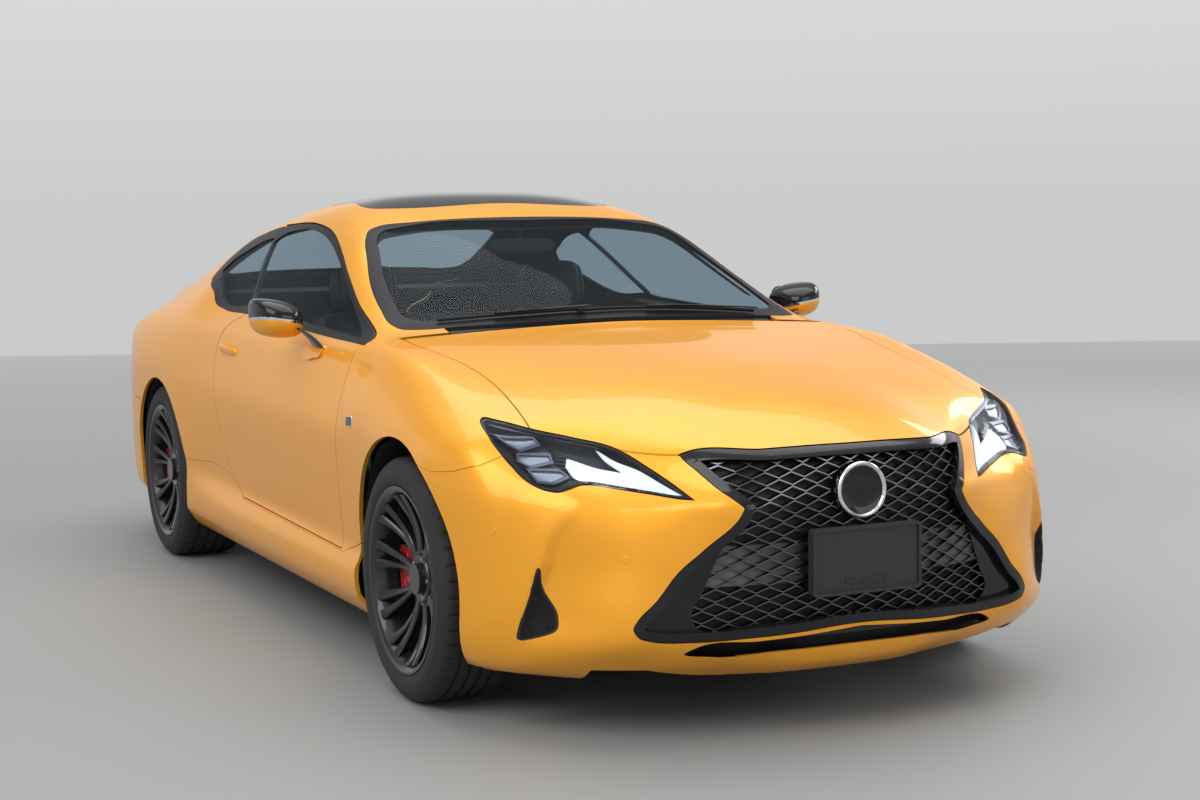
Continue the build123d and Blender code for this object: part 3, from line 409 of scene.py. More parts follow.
TRIM = material("cabin_trim", (0.018, 0.018, 0.020), rough=0.62, grain=(1100, 0.15))
SCREEN = material("screen_glass", (0.006, 0.007, 0.010), rough=0.06, coat=0.4, grain=(50, 0.0))
LIGHT = material("running_light", (0.90, 0.93, 1.0), rough=0.25, grain=(700, 0.1), glow=0.55)
LENS = material("lamp_lens_module", (0.34, 0.38, 0.44), rough=0.10, metal=0.55, grain=(200, 0.02))
LAMP_BODY = material("lamp_housing", (0.020, 0.022, 0.028), rough=0.25, metal=0.4, grain=(500, 0.1))
RED_LIGHT = material("tail_light", (0.55, 0.008, 0.008), rough=0.2, grain=(300, 0.2), glow=0.15)


def clear_material(name, tint, share, base=None):
    """Thin see-through sheet: part clear by its tint, part shiny."""
    mat = bpy.data.materials.new(name)
    mat.use_nodes = True
    tree = mat.node_tree
    tree.nodes.clear()
    see = add_node(tree, "BsdfTransparent", Color=(*tint, 1))
    shine = add_node(tree, "BsdfPrincipled", Base_Color=(*(base or [t * 0.08 for t in tint]), 1), Roughness=0.02,
                     Specular_IOR_Level=0.6)
    dust = add_node(tree, "TexNoise", Scale=7, Detail=5)
    join(tree, add_node(tree, "TexCoord"), "Object", dust, "Vector")
    amount = add_node(tree, "MapRange", To_Min=share - 0.015, To_Max=share + 0.015)
    join(tree, dust, "Fac", amount, "Value")
    mix = add_node(tree, "MixShader")
    join(tree, amount, "Result", mix, "Fac")
    join(tree, see, "BSDF", mix, 1)
    join(tree, shine, "BSDF", mix, 2)
    join(tree, mix, "Shader", add_node(tree, "OutputMaterial"), "Surface")
    return mat


GLASS = clear_material("window_glass", (0.78, 0.85, 0.89), 0.10)
LAMP_GLASS = clear_material("headlamp", (0.93, 0.95, 0.98), 0.08)
TAIL_GLASS = clear_material("tail_lamp", (0.75, 0.08, 0.07), 0.22, base=(0.30, 0.006, 0.006))

# ---------------------------------------------------------------- shaping tools
STORE = bpy.data.collections.new("made")
bpy.context.scene.collection.children.link(STORE)


def outline(points, step=9.0):
    """A closed smooth line through points; a third item marks a corner."""
    n = len(points)
    p = np.array([q[:2] for q in points], float)
    corner = [len(q) > 2 for q in points]
    tangent = np.zeros_like(p)
    for k in range(n):
        a, b = p[k] - p[k - 1], p[(k + 1) % n] - p[k]
        la, lb = np.linalg.norm(a) + 1e-9, np.linalg.norm(b) + 1e-9
        tangent[k] = (a / la * lb + b / lb * la) / (la + lb)
    out = []
    for k in range(n):
        q = (k + 1) % n
        chord = p[q] - p[k]
        length = np.linalg.norm(chord)
        t0 = chord / length if corner[k] else tangent[k]
        t1 = chord / length if corner[q] else tangent[q]
        if corner[k] and corner[q]:
            t0 = t1 = chord / length
        m = max(1, int(round(length / (40 if corner[k] and corner[q] else step))))
        t = np.linspace(0, 1, m, endpoint=False)[:, None]
        out.append(hermite(t, t ** 3, length, p[k], t0, p[q], t1))
    return np.vstack(out)


def grown(line, amount):
    """The same closed line moved outwards by an amount."""
    area = 0.5 * np.sum(line[:, 0] * np.roll(line[:, 1], -1) - np.roll(line[:, 0], -1) * line[:, 1])
    before, after = np.roll(line, 1, axis=0), np.roll(line, -1, axis=0)
    a, b = line - before, after - line
    a /= np.linalg.norm(a, axis=1)[:, None] + 1e-9
    b /= np.linalg.norm(b, axis=1)[:, None] + 1e-9
    normal = np.stack([a[:, 1] + b[:, 1], -a[:, 0] - b[:, 0]], 1)
    spread = np.clip(1 + np.sum(a * b, axis=1), 0.35, 2)
    return line + normal / spread[:, None] * amount * (1 if area > 0 else -1)


def both(points):
    """Half an outline and its mirror image, as one closed line's points."""
    other = [(-q[0], *q[1:]) for q in reversed(points) if abs(q[0]) > 1e-6]
    return list(points) + other


def mirror_line(line):
    """A line's mirror image across the car's middle."""
    out = line.copy()
    out[:, 0] *= -1
    return out


def mesh_of(points, faces):
    """A mesh from points in millimetres, with its faces turned outwards."""
    mesh = bpy.data.meshes.new("piece")
    mesh.from_pydata((np.asarray(points, float) * 0.001).tolist(), [], faces)
    return edited(mesh, face_outwards)


def prism(axis, line, low, high):
    """A solid with that outline along an axis, in millimetres: x takes (y, z), y takes (x, z), z takes (x, y)."""
    line = np.asarray(line, float)
    n = len(line)
    spot = {"x": (1, 2, 0), "y": (0, 2, 1), "z": (0, 1, 2)}[axis]
    pts = np.zeros((2 * n, 3))
    for k, level in enumerate((low, high)):
        pts[k * n:(k + 1) * n, spot[0]] = line[:, 0]
        pts[k * n:(k + 1) * n, spot[1]] = line[:, 1]
        pts[k * n:(k + 1) * n, spot[2]] = level
    faces = [list(range(n)), list(range(2 * n - 1, n - 1, -1))]
    faces += [[k, (k + 1) % n, n + (k + 1) % n, n + k] for k in range(n)]

    def split_ends(bm):
        bmesh.ops.triangulate(bm, faces=[f for f in bm.faces if len(f.verts) > 4], ngon_method="EAR_CLIP")
        face_outwards(bm)
    return edited(mesh_of(pts, faces), split_ends)


def box_mesh(x, y, z):
    """A box from its (low, high) along each axis, in millimetres."""
    return prism("z", [(x[0], y[0]), (x[1], y[0]), (x[1], y[1]), (x[0], y[1])], z[0], z[1])


def drum(radius, x_from, x_to, y, z, sides=96):
    """A round bar along X."""
    a = np.linspace(0, 2 * math.pi, sides, endpoint=False)
    return prism("x", np.stack([y + radius * np.cos(a), z + radius * np.sin(a)], 1), x_from, x_to)


def keep(*meshes):
    """Steps for carve that keep what lies inside each mesh."""
    return [("INTERSECT", m) for m in meshes]


def drop(*meshes):
    """Steps for carve that take away what lies inside each mesh."""
    return [("DIFFERENCE", m) for m in meshes]


def carve(base, *steps):
    """A new mesh: the base after the steps made by keep and drop, in their order."""
    home = bpy.data.objects.new("work", base)
    STORE.objects.link(home)
    tools = []
    for kind, other in sum(steps, []):
        tool = bpy.data.objects.new("tool", other)
        STORE.objects.link(tool)
        tools.append(tool)
        mod = home.modifiers.new("cut", "BOOLEAN")
        mod.operation, mod.object, mod.solver = kind, tool, "MANIFOLD"
    done = after_modifiers(home)
    for o in [home, *tools]:
        bpy.data.objects.remove(o)
    return done


def after_modifiers(obj):
    """A new mesh from an object with its modifiers applied."""
    bpy.context.view_layer.update()
    return bpy.data.meshes.new_from_object(obj.evaluated_get(bpy.context.evaluated_depsgraph_get()))


def merged(meshes):
    """Several meshes as one."""
    bm = bmesh.new()
    for m in meshes:
        bm.from_mesh(m)
    out = bpy.data.meshes.new("merged")
    bm.to_mesh(out)
    bm.free()
    return out


def flipped(mesh):
    """A mesh's mirror image across the car's middle."""
    def turn_over(bm):
        bmesh.ops.transform(bm, matrix=Matrix.Scale(-1, 4, (1, 0, 0)), verts=bm.verts)
        bmesh.ops.reverse_faces(bm, faces=bm.faces)
    return edited(mesh, turn_over, bpy.data.meshes.new("flipped"))


def both_sides(mesh):
    """A mesh and its mirror image, as one mesh."""
    return merged([mesh, flipped(mesh)])


def on_side(mesh, sign):
    """A mesh made for the left, mirrored when the sign says right."""
    return mesh if sign > 0 else flipped(mesh)


SIDES = (("left", 1), ("right", -1))


def place(name, mesh, body, mats, replaces=()):
    """Shows a mesh as a piece that rides on a CAD body."""
    if len(mesh.materials):  # clearing an empty list would still set each face back to the first material
        mesh.materials.clear()
    for m in (mats if isinstance(mats, (list, tuple)) else [mats]):
        mesh.materials.append(m)
    obj = bpy.data.objects.new(name, mesh)
    bpy.context.scene.collection.objects.link(obj)
    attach(obj, body)
    if replaces:
        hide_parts(*replaces)
    return obj


# ---------------------------------------------------------------- the body's smooth skin
SURFACE = edited(grow_surface(*FINE), into_triangles)
INNER = grow_surface(*BROAD, inset=12)
DEEP = grow_surface(*BROAD, inset=74)
s_co = np.zeros(len(SURFACE.vertices) * 3)
SURFACE.vertices.foreach_get("co", s_co)
s_co = s_co.reshape(-1, 3)
s_no = np.array([v.normal for v in SURFACE.vertices])
s_tri = np.array([p.vertices for p in SURFACE.polygons])
TREE = BVHTree.FromPolygons(s_co.tolist(), s_tri.tolist())
SKIN = carve(SURFACE, drop(INNER))
SLAB = carve(SURFACE, drop(DEEP))


def surface_normals(points):
    """Distance to the smooth skin and its normal there, for many points."""
    far = np.zeros(len(points))
    index = np.zeros(len(points), int)
    spot = np.zeros((len(points), 3))
    for k, q in enumerate(points):
        loc, _, i, dist = TREE.find_nearest(Vector(q))
        far[k], index[k], spot[k] = dist, i, loc
    tri = s_tri[index]
    a, b, c = s_co[tri[:, 0]], s_co[tri[:, 1]], s_co[tri[:, 2]]
    v0, v1, v2 = b - a, c - a, spot - a
    d00, d01, d11 = (v0 * v0).sum(1), (v0 * v1).sum(1), (v1 * v1).sum(1)
    d20, d21 = (v2 * v0).sum(1), (v2 * v1).sum(1)
    den = d00 * d11 - d01 * d01 + 1e-20
    v = ((d11 * d20 - d01 * d21) / den)[:, None]
    w = ((d00 * d21 - d01 * d20) / den)[:, None]
    normal = s_no[tri[:, 0]] * (1 - v - w) + s_no[tri[:, 1]] * v + s_no[tri[:, 2]] * w
    normal /= np.linalg.norm(normal, axis=1)[:, None] + 1e-12
    return far, normal


def corners_of(mesh):
    """A mesh's points; each face corner's vertex and face; the faces' flat normals and corner counts."""
    co = np.zeros(len(mesh.vertices) * 3)
    mesh.vertices.foreach_get("co", co)
    loop_vert = np.zeros(len(mesh.loops), int)
    mesh.loops.foreach_get("vertex_index", loop_vert)
    start = np.array([p.loop_start for p in mesh.polygons])
    total = np.array([p.loop_total for p in mesh.polygons])
    faces = np.zeros(len(mesh.loops), int)
    order = np.concatenate([np.arange(s, s + t) for s, t in zip(start, total)])
    faces[order] = np.repeat(np.arange(len(total)), total)
    return co.reshape(-1, 3), loop_vert, faces, np.array([p.normal for p in mesh.polygons]), total


def skin_panel(name, mesh, body, replaces=(), mats=None, edge=0.020):
    """A body panel: its outside takes the smooth skin's normals, and its deep faces the second material."""
    co, loop_vert, faces, flat, total = corners_of(mesh)
    far, normal = surface_normals(co)
    align = (flat[faces] * normal[loop_vert]).sum(1)
    face_align = np.bincount(faces, align, len(total)) / total
    face_far = np.bincount(faces, far[loop_vert], len(total)) / total
    face_near = np.full(len(total), 1.0)
    np.minimum.at(face_near, faces, far[loop_vert])
    outer = (face_far < 0.0006) & (face_align > 0.6)
    inner = (face_align < -0.6)
    out = flat[faces].copy()
    pick = outer[faces]
    out[pick] = normal[loop_vert][pick]
    pick = inner[faces]
    out[pick] = -normal[loop_vert][pick]
    mesh.materials.clear()
    mesh.polygons.foreach_set("use_smooth", np.ones(len(total), bool))
    deep = (~outer) & (inner | (face_near > edge))
    mesh.polygons.foreach_set("material_index", deep.astype(np.int32))
    mesh.normals_split_custom_set(out.tolist())
    mesh.update()
    return place(name, mesh, body, mats or [ORANGE, UNDER], replaces)


GAP = 2.0
# side outlines (y, z)
DOOR = outline([(-866, 946, 0), (-700, 992), (-557, 1038), (-348, 1127), (-206, 1189), (22, 1260), (268, 1290),
                (586, 1288), (696, 1284, 0), (580, 1172), (475, 1066), (414, 1003), (425, 973, 0), (530, 885),
                (555, 800), (520, 660), (456, 520), (362, 400), (268, 352, 0), (-850, 336, 0), (-868, 530),
                (-882, 680), (-880, 800), (-880, 900)])
BELT = outline([(-1000, 933, 0), (-881, 937), (-509, 944), (-131, 958), (401, 978), (744, 984), (830, 995),
                (901, 1024), (1000, 1052), (1130, 1070), (1300, 1074, 0), (1300, 1500, 0), (-1000, 1500, 0)], 40)
DLO = outline([(-884, 938, 0), (-509, 944), (-131, 958), (401, 978), (700, 983), (840, 1000), (960, 1038),
               (1104, 1070), (1178, 1098), (1183, 1140), (1125, 1198), (904, 1256), (586, 1285), (268, 1288),
               (22, 1258), (-206, 1187), (-348, 1125), (-557, 1036)])
DOOR_GLASS = outline([(-760, 952, 0), (-494, 964), (178, 985), (340, 993, 0), (400, 1000), (625, 1231), (560, 1253),
                      (419, 1268), (217, 1267), (44, 1244), (-214, 1170), (-395, 1092), (-554, 1024)])
QUARTER_GLASS = outline([(436, 1006, 0), (744, 1003), (860, 1030), (960, 1066), (1050, 1092), (1080, 1112),
                         (1060, 1142), (958, 1184), (800, 1226), (676, 1240, 0)])
# plan outlines (x, y)
BONNET = outline(both([(0, -2284), (149, -2270), (337, -2203), (415, -2137), (532, -2023), (615, -1937),
                       (700, -1868, 0), (686, -1740), (671, -1538), (679, -1326), (706, -1154), (716, -1040),
                       (712, -966, 0), (560, -962), (0, -962)]))
WINDSCREEN = outline(both([(0, -931), (264, -922), (514, -897), (610, -884), (668, -850), (684, -790), (676, -660),
                           (652, -500), (614, -360), (566, -212), (540, -168), (500, -150), (363, -160),
                           (0, -160)]))
WS_GLASS = outline(both([(0, -870), (264, -860), (514, -832), (600, -805), (632, -760), (630, -660), (606, -500),
                         (570, -360), (524, -222), (500, -200), (460, -192), (0, -196)]))
REAR_WINDOW = outline(both([(0, 1085), (430, 1100), (480, 1140), (520, 1300), (548, 1500), (560, 1700), (548, 1800),
                            (490, 1858), (380, 1868), (0, 1872)]))
REAR_GLASS = outline(both([(0, 1115), (410, 1128), (450, 1165), (490, 1310), (516, 1500), (526, 1690), (510, 1780),
                           (460, 1824), (370, 1834), (0, 1838)]))
SUNROOF = outline(both([(0, 10), (380, 18), (430, 60), (436, 300), (430, 540), (390, 580), (0, 586)]))
# front and rear outlines (x, z)
LAMP = outline([(791, 785), (777, 796), (751, 791), (693, 773), (615, 754), (532, 728), (487, 688), (451, 652),
                (421, 617, 0), (447, 619), (492, 627), (571, 641), (613, 649), (651, 650), (678, 642), (705, 635),
                (734, 641), (758, 659), (774, 690), (787, 722), (796, 754)], 6)
GRILLE = outline(both([(0, 737, 0), (84, 737), (240, 733), (402, 724), (415, 718), (412, 708), (395, 684),
                       (361, 640), (326, 606), (318, 597), (322, 588), (412, 496), (470, 446), (526, 376),
                       (572, 328), (581, 310), (566, 285), (548, 279), (431, 268), (272, 272), (0, 290)]), 6)
VENT = outline([(760, 450), (742, 390), (720, 330), (724, 298), (757, 277), (797, 268), (797, 290), (788, 334),
                (775, 390)], 6)
LID = outline(both([(0, 706, 0), (440, 708, 0), (452, 760), (462, 880), (560, 950), (585, 1010), (590, 1300, 0),
                    (0, 1300, 0)]))
TAIL_LAMP = outline([(462, 800, 0), (640, 772), (800, 790), (960, 830, 0), (960, 925, 0), (860, 935), (720, 930),
                     (583, 950, 0), (480, 882)], 8)
FAR_X = 1200
ACROSS, OUTBOARD = (-FAR_X, FAR_X), (400, FAR_X)
# how far cuts reach: from ahead for lamps, for the grille, and for holes inside such a cut; from behind for the
# tail lamps; and down on the front and the rear glass
AHEAD, AHEAD_MIDDLE, AHEAD_HOLE, BEHIND = (-2600, -1650), (-2600, -1900), (-2700, -1800), (2011, 2600)
DOWN_FRONT, DOWN_REAR = (700, 1500), (900, 1500)
FRONT_AXLE, REAR_AXLE, AXLE_Z = -1422.5, 1307.5, 334


def pair_y(line, extra=0.0, reach=AHEAD):
    """Prisms along Y for one outline given on the left, and for its mirror image."""
    line = grown(line, extra)
    return [prism("y", line, *reach), prism("y", mirror_line(line), *reach)]


def pair_x(line, extra=0.0, x_from=380):
    """Prisms along X on both sides for one outline."""
    line = grown(np.asarray(line, float), extra)
    return [prism("x", line, x_from, FAR_X), prism("x", line, -FAR_X, -x_from)]


def arches(radius, axle_y):
    """Round openings over both wheels of an axle."""
    return [drum(radius, low, high, axle_y, AXLE_Z) for low, high in ((470, 1100), (-1100, -470))]


front_arch, rear_arch = arches(391, FRONT_AXLE), arches(364, REAR_AXLE)
FRONT_CUT = [(-2600, 0), (-1613, 0), (-1613, 672), (-1694, 660), (-1780, 668), (-1858, 690), (-1883, 713),
             (-1883, 1000), (-2600, 1000)]
REAR_CUT = [(1604, 0), (2600, 0), (2600, 700), (2330, 700), (2100, 694), (1900, 640), (1712, 594), (1604, 594)]
SKIRT = [(-1200, 0), (-1200, 384), (-1060, 384), (-870, 330), (270, 346), (365, 396), (480, 424), (620, 436),
         (930, 418), (1100, 418), (1604, 400), (1604, 0)]

bonnet_mesh = carve(SKIN, keep(prism("z", grown(BONNET, -GAP), 640, 1400)),
                    drop(*pair_y(LAMP, GAP), prism("y", grown(GRILLE, GAP), *AHEAD_MIDDLE)))
skin_panel("bonnet_skin", bonnet_mesh, "bonnet", ["bonnet"])

WING = [(-2600, 714), (-1883, 714), (-1858, 691), (-1780, 669), (-1694, 661), (-1615, 673), (-1615, 386),
        (-1061, 386), (-868, 331), (-868, 530), (-882, 680), (-880, 800), (-880, 900), (-866, 944), (-600, 1055),
        (-600, 1400), (-2600, 1400)]
wing_zone = prism("x", WING, *ACROSS)
wings = carve(SKIN, keep(wing_zone),
              drop(prism("z", grown(BONNET, GAP), 600, 1500), *pair_y(LAMP, GAP), *front_arch,
                   prism("y", grown(GRILLE, GAP), *AHEAD_MIDDLE), prism("z", grown(WINDSCREEN, 1), *DOWN_FRONT),
                   *pair_x(DLO, 1), *pair_x(DOOR, GAP), box_mesh(ACROSS, (-2600, -1884), (0, 1000)),
                   prism("z", [(-560, -990), (560, -990), (560, -700), (-560, -700)], 600, 1200),
                   drum(30, 552, 718, -958, 945), drum(30, -718, -552, -958, 945)))
skin_panel("wings_skin", wings, "car_body", ["front_wings"])

MOUTH = outline(both([(0, 282, 0), (272, 262), (431, 252), (452, 240), (380, 225), (200, 232), (0, 236)]))
bumper = carve(SKIN, keep(prism("x", np.array(FRONT_CUT, float) - np.array([GAP, 0]), *ACROSS)),
               drop(*front_arch, prism("z", grown(BONNET, GAP), 640, 1500), *pair_y(LAMP, GAP),
                    prism("y", grown(GRILLE, 1), *AHEAD_MIDDLE), *pair_y(VENT, 1), prism("y", MOUTH, -2600, -2000),
                    box_mesh((-640, 640), (-2150, -1500), (100, 190))))
skin_panel("front_bumper_skin", bumper, "car_body", ["front_bumper"])

HINGE_Z = (430, 638)
door = carve(SLAB, keep(prism("x", grown(DOOR, -GAP), 450, FAR_X)),
             drop(prism("x", BELT, *OUTBOARD),
                  *[box_mesh((700, 873), (-900, -772), (z - 17, z + 17)) for z in HINGE_Z]))
for side, sign in SIDES:
    skin_panel(f"door_skin_{side}", on_side(door, sign).copy(), f"door_{side}", [f"door_{side}"],
               mats=[ORANGE, TRIM], edge=0.030)
frame_ring = carve(SKIN, keep(prism("x", grown(DLO, -0.5), *OUTBOARD), prism("x", grown(DOOR, -GAP), *OUTBOARD)),
                   drop(prism("x", DOOR_GLASS, 300, FAR_X)))
quarter_ring = carve(SKIN, keep(prism("x", grown(DLO, -0.5), *OUTBOARD)),
                     drop(prism("x", grown(DOOR, GAP), *OUTBOARD), prism("x", QUARTER_GLASS, 300, FAR_X)))
for side, sign in SIDES:
    skin_panel(f"door_window_frame_{side}", on_side(frame_ring, sign).copy(), f"door_{side}",
               mats=[SATIN, TRIM])
skin_panel("quarter_window_frames", both_sides(quarter_ring), "car_body", mats=[SATIN, TRIM])

shell = carve(SKIN, keep(prism("x", [(-905, 100), (2600, 100), (2600, 1500), (-905, 1500)], *ACROSS)),
              drop(*pair_x(DOOR, GAP), *pair_x(DLO, 0.5), wing_zone, prism("z", grown(WINDSCREEN, 1), *DOWN_FRONT),
                   prism("z", grown(REAR_WINDOW, 1), *DOWN_REAR), prism("z", grown(SUNROOF, 2), 1100, 1500),
                   prism("y", grown(LID, GAP), 1886, 2600), *pair_y(TAIL_LAMP, 0, (2010, 2600)),
                   prism("x", grown(np.array(REAR_CUT, float), GAP), *ACROSS),
                   prism("x", grown(np.array(SKIRT, float), 0.6), *ACROSS), *rear_arch,
                   box_mesh((-700, 700), (-1000, 1600), (100, 500))))
skin_panel("body_side_skin", shell, "car_body", ["body_shell", "roof_panel"])

skirts = carve(SKIN, keep(prism("x", grown(np.array(SKIRT, float), -0.6), *ACROSS)),
               drop(*front_arch, *rear_arch, box_mesh((-840, 840), (-1300, 1700), (100, 230)), *pair_x(DOOR, GAP)))
skin_panel("side_skirts_skin", skirts, "car_body", ["side_skirts"])

lid = carve(SKIN, keep(prism("y", grown(LID, -GAP), 1890, 2600)),
            drop(prism("z", grown(REAR_WINDOW, 3), *DOWN_REAR), *pair_y(TAIL_LAMP, GAP, (2010, 2600))))
skin_panel("boot_lid_skin", lid, "boot_lid", ["boot_lid"])

DIFFUSER = outline(both([(0, 365, 0), (420, 360), (560, 330), (640, 270), (660, 150, 0), (0, 150, 0)]))
rear = carve(SKIN, keep(prism("x", grown(np.array(REAR_CUT, float), -GAP / 2), *ACROSS)),
             drop(*rear_arch, prism("y", DIFFUSER, 2100, 2600), box_mesh((-650, 650), (1500, 2220), (100, 205)),
                  prism("y", grown(LID, GAP), 1886, 2600)))
skin_panel("rear_bumper_skin", rear, "car_body", ["rear_bumper"])


# ---------------------------------------------------------------- thinner layers of the same skin
def layer(top, bottom):
    """The solid between two depths below the skin."""
    return carve(LAYER[top], drop(LAYER[bottom]))


LAYER = {d: grow_surface(*COARSE, inset=d) for d in (-8, 1, 4, 14, 20, 28, 34, 46, 52, 60)}
LAYER.update({d: grow_surface(*FINE, inset=d) for d in (3, 7)})
for mesh in LAYER.values():
    edited(mesh, into_triangles)
PANE = layer(3, 7)
COVER = layer(1, 4)
TRAY = layer(46, 52)
PLY = layer(20, 28)


def smooth_piece(name, mesh, body, mats, replaces=()):
    """A piece cut from a layer below the skin, shaded like the skin above it."""
    co, loop_vert, faces, flat, total = corners_of(mesh)
    normal = surface_normals(co)[1]
    flat = flat[faces]
    side = (flat * normal[loop_vert]).sum(1)
    out = np.where((side > 0.6)[:, None], normal[loop_vert],
                   np.where((side < -0.6)[:, None], -normal[loop_vert], flat))
    mesh.polygons.foreach_set("use_smooth", np.ones(len(total), bool))
    mesh.normals_split_custom_set(out.tolist())
    return place(name, mesh, body, mats, replaces)


def pick_y(source, line, extra=0.0, reach=AHEAD):
    """The part of a layer inside an outline on both sides, as one mesh."""
    return both_sides(carve(source, keep(prism("y", grown(line, extra), *reach))))


# ---------------------------------------------------------------- glass and its dark borders
for name, line, hole, reach in (("windscreen", WINDSCREEN, WS_GLASS, DOWN_FRONT),
                                ("rear_window", REAR_WINDOW, REAR_GLASS, DOWN_REAR)):
    band = carve(SKIN, keep(prism("z", grown(line, -0.5), *reach)), drop(prism("z", hole, 600, 1600)))
    smooth_piece(f"{name}_band", band, "car_body", SATIN)
    pane = carve(PANE, keep(prism("z", grown(hole, -1), *reach)))
    smooth_piece(f"{name}_glass", pane, "car_body", GLASS)
pane = both_sides(carve(PANE, keep(prism("x", grown(QUARTER_GLASS, -1), *OUTBOARD))))
smooth_piece("quarter_window_glass", pane, "car_body", GLASS, ["fixed_windows"])
pane = carve(PANE, keep(prism("x", grown(DOOR_GLASS, -1), *OUTBOARD)))
smooth_piece("door_window_glass_left", pane.copy(), "door_left", GLASS, ["door_glass_left"])
smooth_piece("door_window_glass_right", flipped(pane), "door_right", GLASS, ["door_glass_right"])
seal = carve(layer(7, 60),
             keep(prism("x", grown(DOOR, -GAP - 1), *OUTBOARD),
                  prism("x", np.array(BELT)[:, :2] - [0, 0.5], 390, FAR_X)),
             drop(prism("x", np.array(BELT)[:, :2] + [0, 3], 380, FAR_X)))
smooth_piece("door_belt_seal_left", seal.copy(), "door_left", TRIM)
smooth_piece("door_belt_seal_right", flipped(seal), "door_right", TRIM)
pane = carve(COVER, keep(prism("z", grown(SUNROOF, -2), 1100, 1500)))
smooth_piece("sunroof_glass", pane, "car_body", [GLOSS])

# ---------------------------------------------------------------- headlamps
DRL = outline([(654, 686, 0), (649, 662), (636, 655), (605, 647), (520, 633), (445, 622), (432, 621, 0), (468, 650),
               (505, 680), (546, 701), (569, 722, 0), (562, 700), (536, 672, 0), (590, 684), (640, 704, 0)], 5)
MODULES = [outline([(767, 754, 0), (746, 751, 0), (697, 751, 0), (692, 738, 0), (735, 726, 0), (756, 740, 0)], 8),
           outline([(743, 713, 0), (679, 712, 0), (681, 700, 0), (728, 690, 0), (747, 701, 0)], 8),
           outline([(735, 679, 0), (673, 678, 0), (666, 668, 0), (702, 655, 0), (730, 657, 0)], 8)]
smooth_piece("headlamp_covers", pick_y(COVER, LAMP, -1.5), "car_body", LAMP_GLASS)
bowl = carve(SLAB, keep(prism("y", grown(LAMP, -1.0), *AHEAD)))
hollow = carve(layer(-8, 52), keep(prism("y", grown(LAMP, -6), *AHEAD)))
bowl = carve(carve(bowl, drop(hollow)), keep(LAYER[4]))
smooth_piece("headlamp_housings", both_sides(bowl), "car_body", LAMP_BODY, ["headlamps"])
smooth_piece("running_lights", pick_y(layer(14, 28), DRL), "car_body", LIGHT)
for k, line in enumerate(MODULES):
    smooth_piece(f"lamp_frames_{k + 1}",
                 both_sides(carve(layer(20, 46), keep(prism("y", grown(line, 5), *AHEAD)),
                                  drop(prism("y", grown(line, 0.3), -2700, -1600)))),
                 "car_body", DARK_CHROME)
    smooth_piece(f"lamp_lenses_{k + 1}", pick_y(layer(28, 46), line), "car_body", LENS)
for k in range(7):
    z = 668 + 9 * k
    line = outline([(560 + 16 * k, z, 0), (668 - k, z + 16, 0), (668 - k, z + 19, 0), (560 + 16 * k, z + 3, 0)], 10)
    smooth_piece(f"lamp_fins_{k + 1}", pick_y(layer(28, 46), line), "car_body", LAMP_BODY)
brow = outline([(560, 727, 0), (640, 745, 0), (760, 775, 0), (775, 782, 0), (760, 786, 0), (690, 768, 0),
                (600, 744, 0)], 8)
smooth_piece("lamp_brows", pick_y(layer(14, 28), brow), "car_body", DARK_CHROME)

# ---------------------------------------------------------------- grille
LATTICE = outline(both([(0, 712, 0), (360, 705, 0), (386, 700), (366, 655), (336, 612), (332, 575), (346, 535),
                        (378, 462), (408, 390), (434, 322), (428, 310), (272, 302), (0, 314)]), 8)
frame_band = carve(layer(1, 34), keep(prism("y", grown(GRILLE, -1.5), *AHEAD_MIDDLE)),
                   drop(prism("y", grown(GRILLE, -24), *AHEAD_HOLE)))
smooth_piece("grille_frame", frame_band, "car_body", GLOSS)
wedge = carve(PLY, keep(prism("y", grown(GRILLE, -23), *AHEAD_MIDDLE)), drop(prism("y", LATTICE, *AHEAD_HOLE)))
smooth_piece("grille_side_panels", wedge, "car_body", GLOSS)
backing = carve(TRAY, keep(prism("y", grown(GRILLE, 8), *AHEAD_MIDDLE)))
smooth_piece("grille_backing", backing, "car_body", LINER)


def zigzag_rows(step_x, step_z, thick, low_z, high_z, half_x):
    """Folded strips running across the car, each row a mirror of the next."""
    points, faces = [], []
    n = int(2 * half_x / step_x) + 1
    for r in range(int((high_z - low_z) / step_z) + 1):
        first = len(points)
        for k in range(n + 1):
            x = -half_x + k * step_x
            up = 1 if (k + r) % 2 else -1
            mid = low_z + r * step_z + up * (step_z - thick - 0.4) / 2
            for z in (mid - thick / 2, mid + thick / 2):
                for depth in (22, 38):
                    points.append((x, front_y(np.array([x]), np.array([z]))[0] + depth, z))
        for k in range(n):
            a, b = first + 4 * k, first + 4 * (k + 1)
            faces += [[a, b, b + 2, a + 2], [a + 1, a + 3, b + 3, b + 1], [a, a + 1, b + 1, b],
                      [a + 2, b + 2, b + 3, a + 3]]
        e = first + 4 * n
        faces += [[first, first + 2, first + 3, first + 1], [e, e + 1, e + 3, e + 2]]
    return mesh_of(points, faces)


lattice = carve(zigzag_rows(33, 17.6, 3.4, 300, 726, 640), keep(prism("y", grown(LATTICE, 4), *AHEAD_HOLE)))
place("grille_lattice", lattice, "car_body", DARK_CHROME, ["grille"])
slot_line = outline(both([(0, 284, 0), (272, 264), (431, 254), (455, 240), (380, 222), (200, 229), (0, 233)]))
smooth_piece("lower_intake_backing", carve(TRAY, keep(prism("y", grown(slot_line, 12), *AHEAD_MIDDLE))), "car_body",
             LINER)
smooth_piece("lower_intake_bar", carve(PLY, keep(prism("y", grown(slot_line, -1), *AHEAD_MIDDLE)),
                                       drop(box_mesh((-900, 900), (-2600, -1800), (150, 262)))),
             "car_body", PLASTIC)

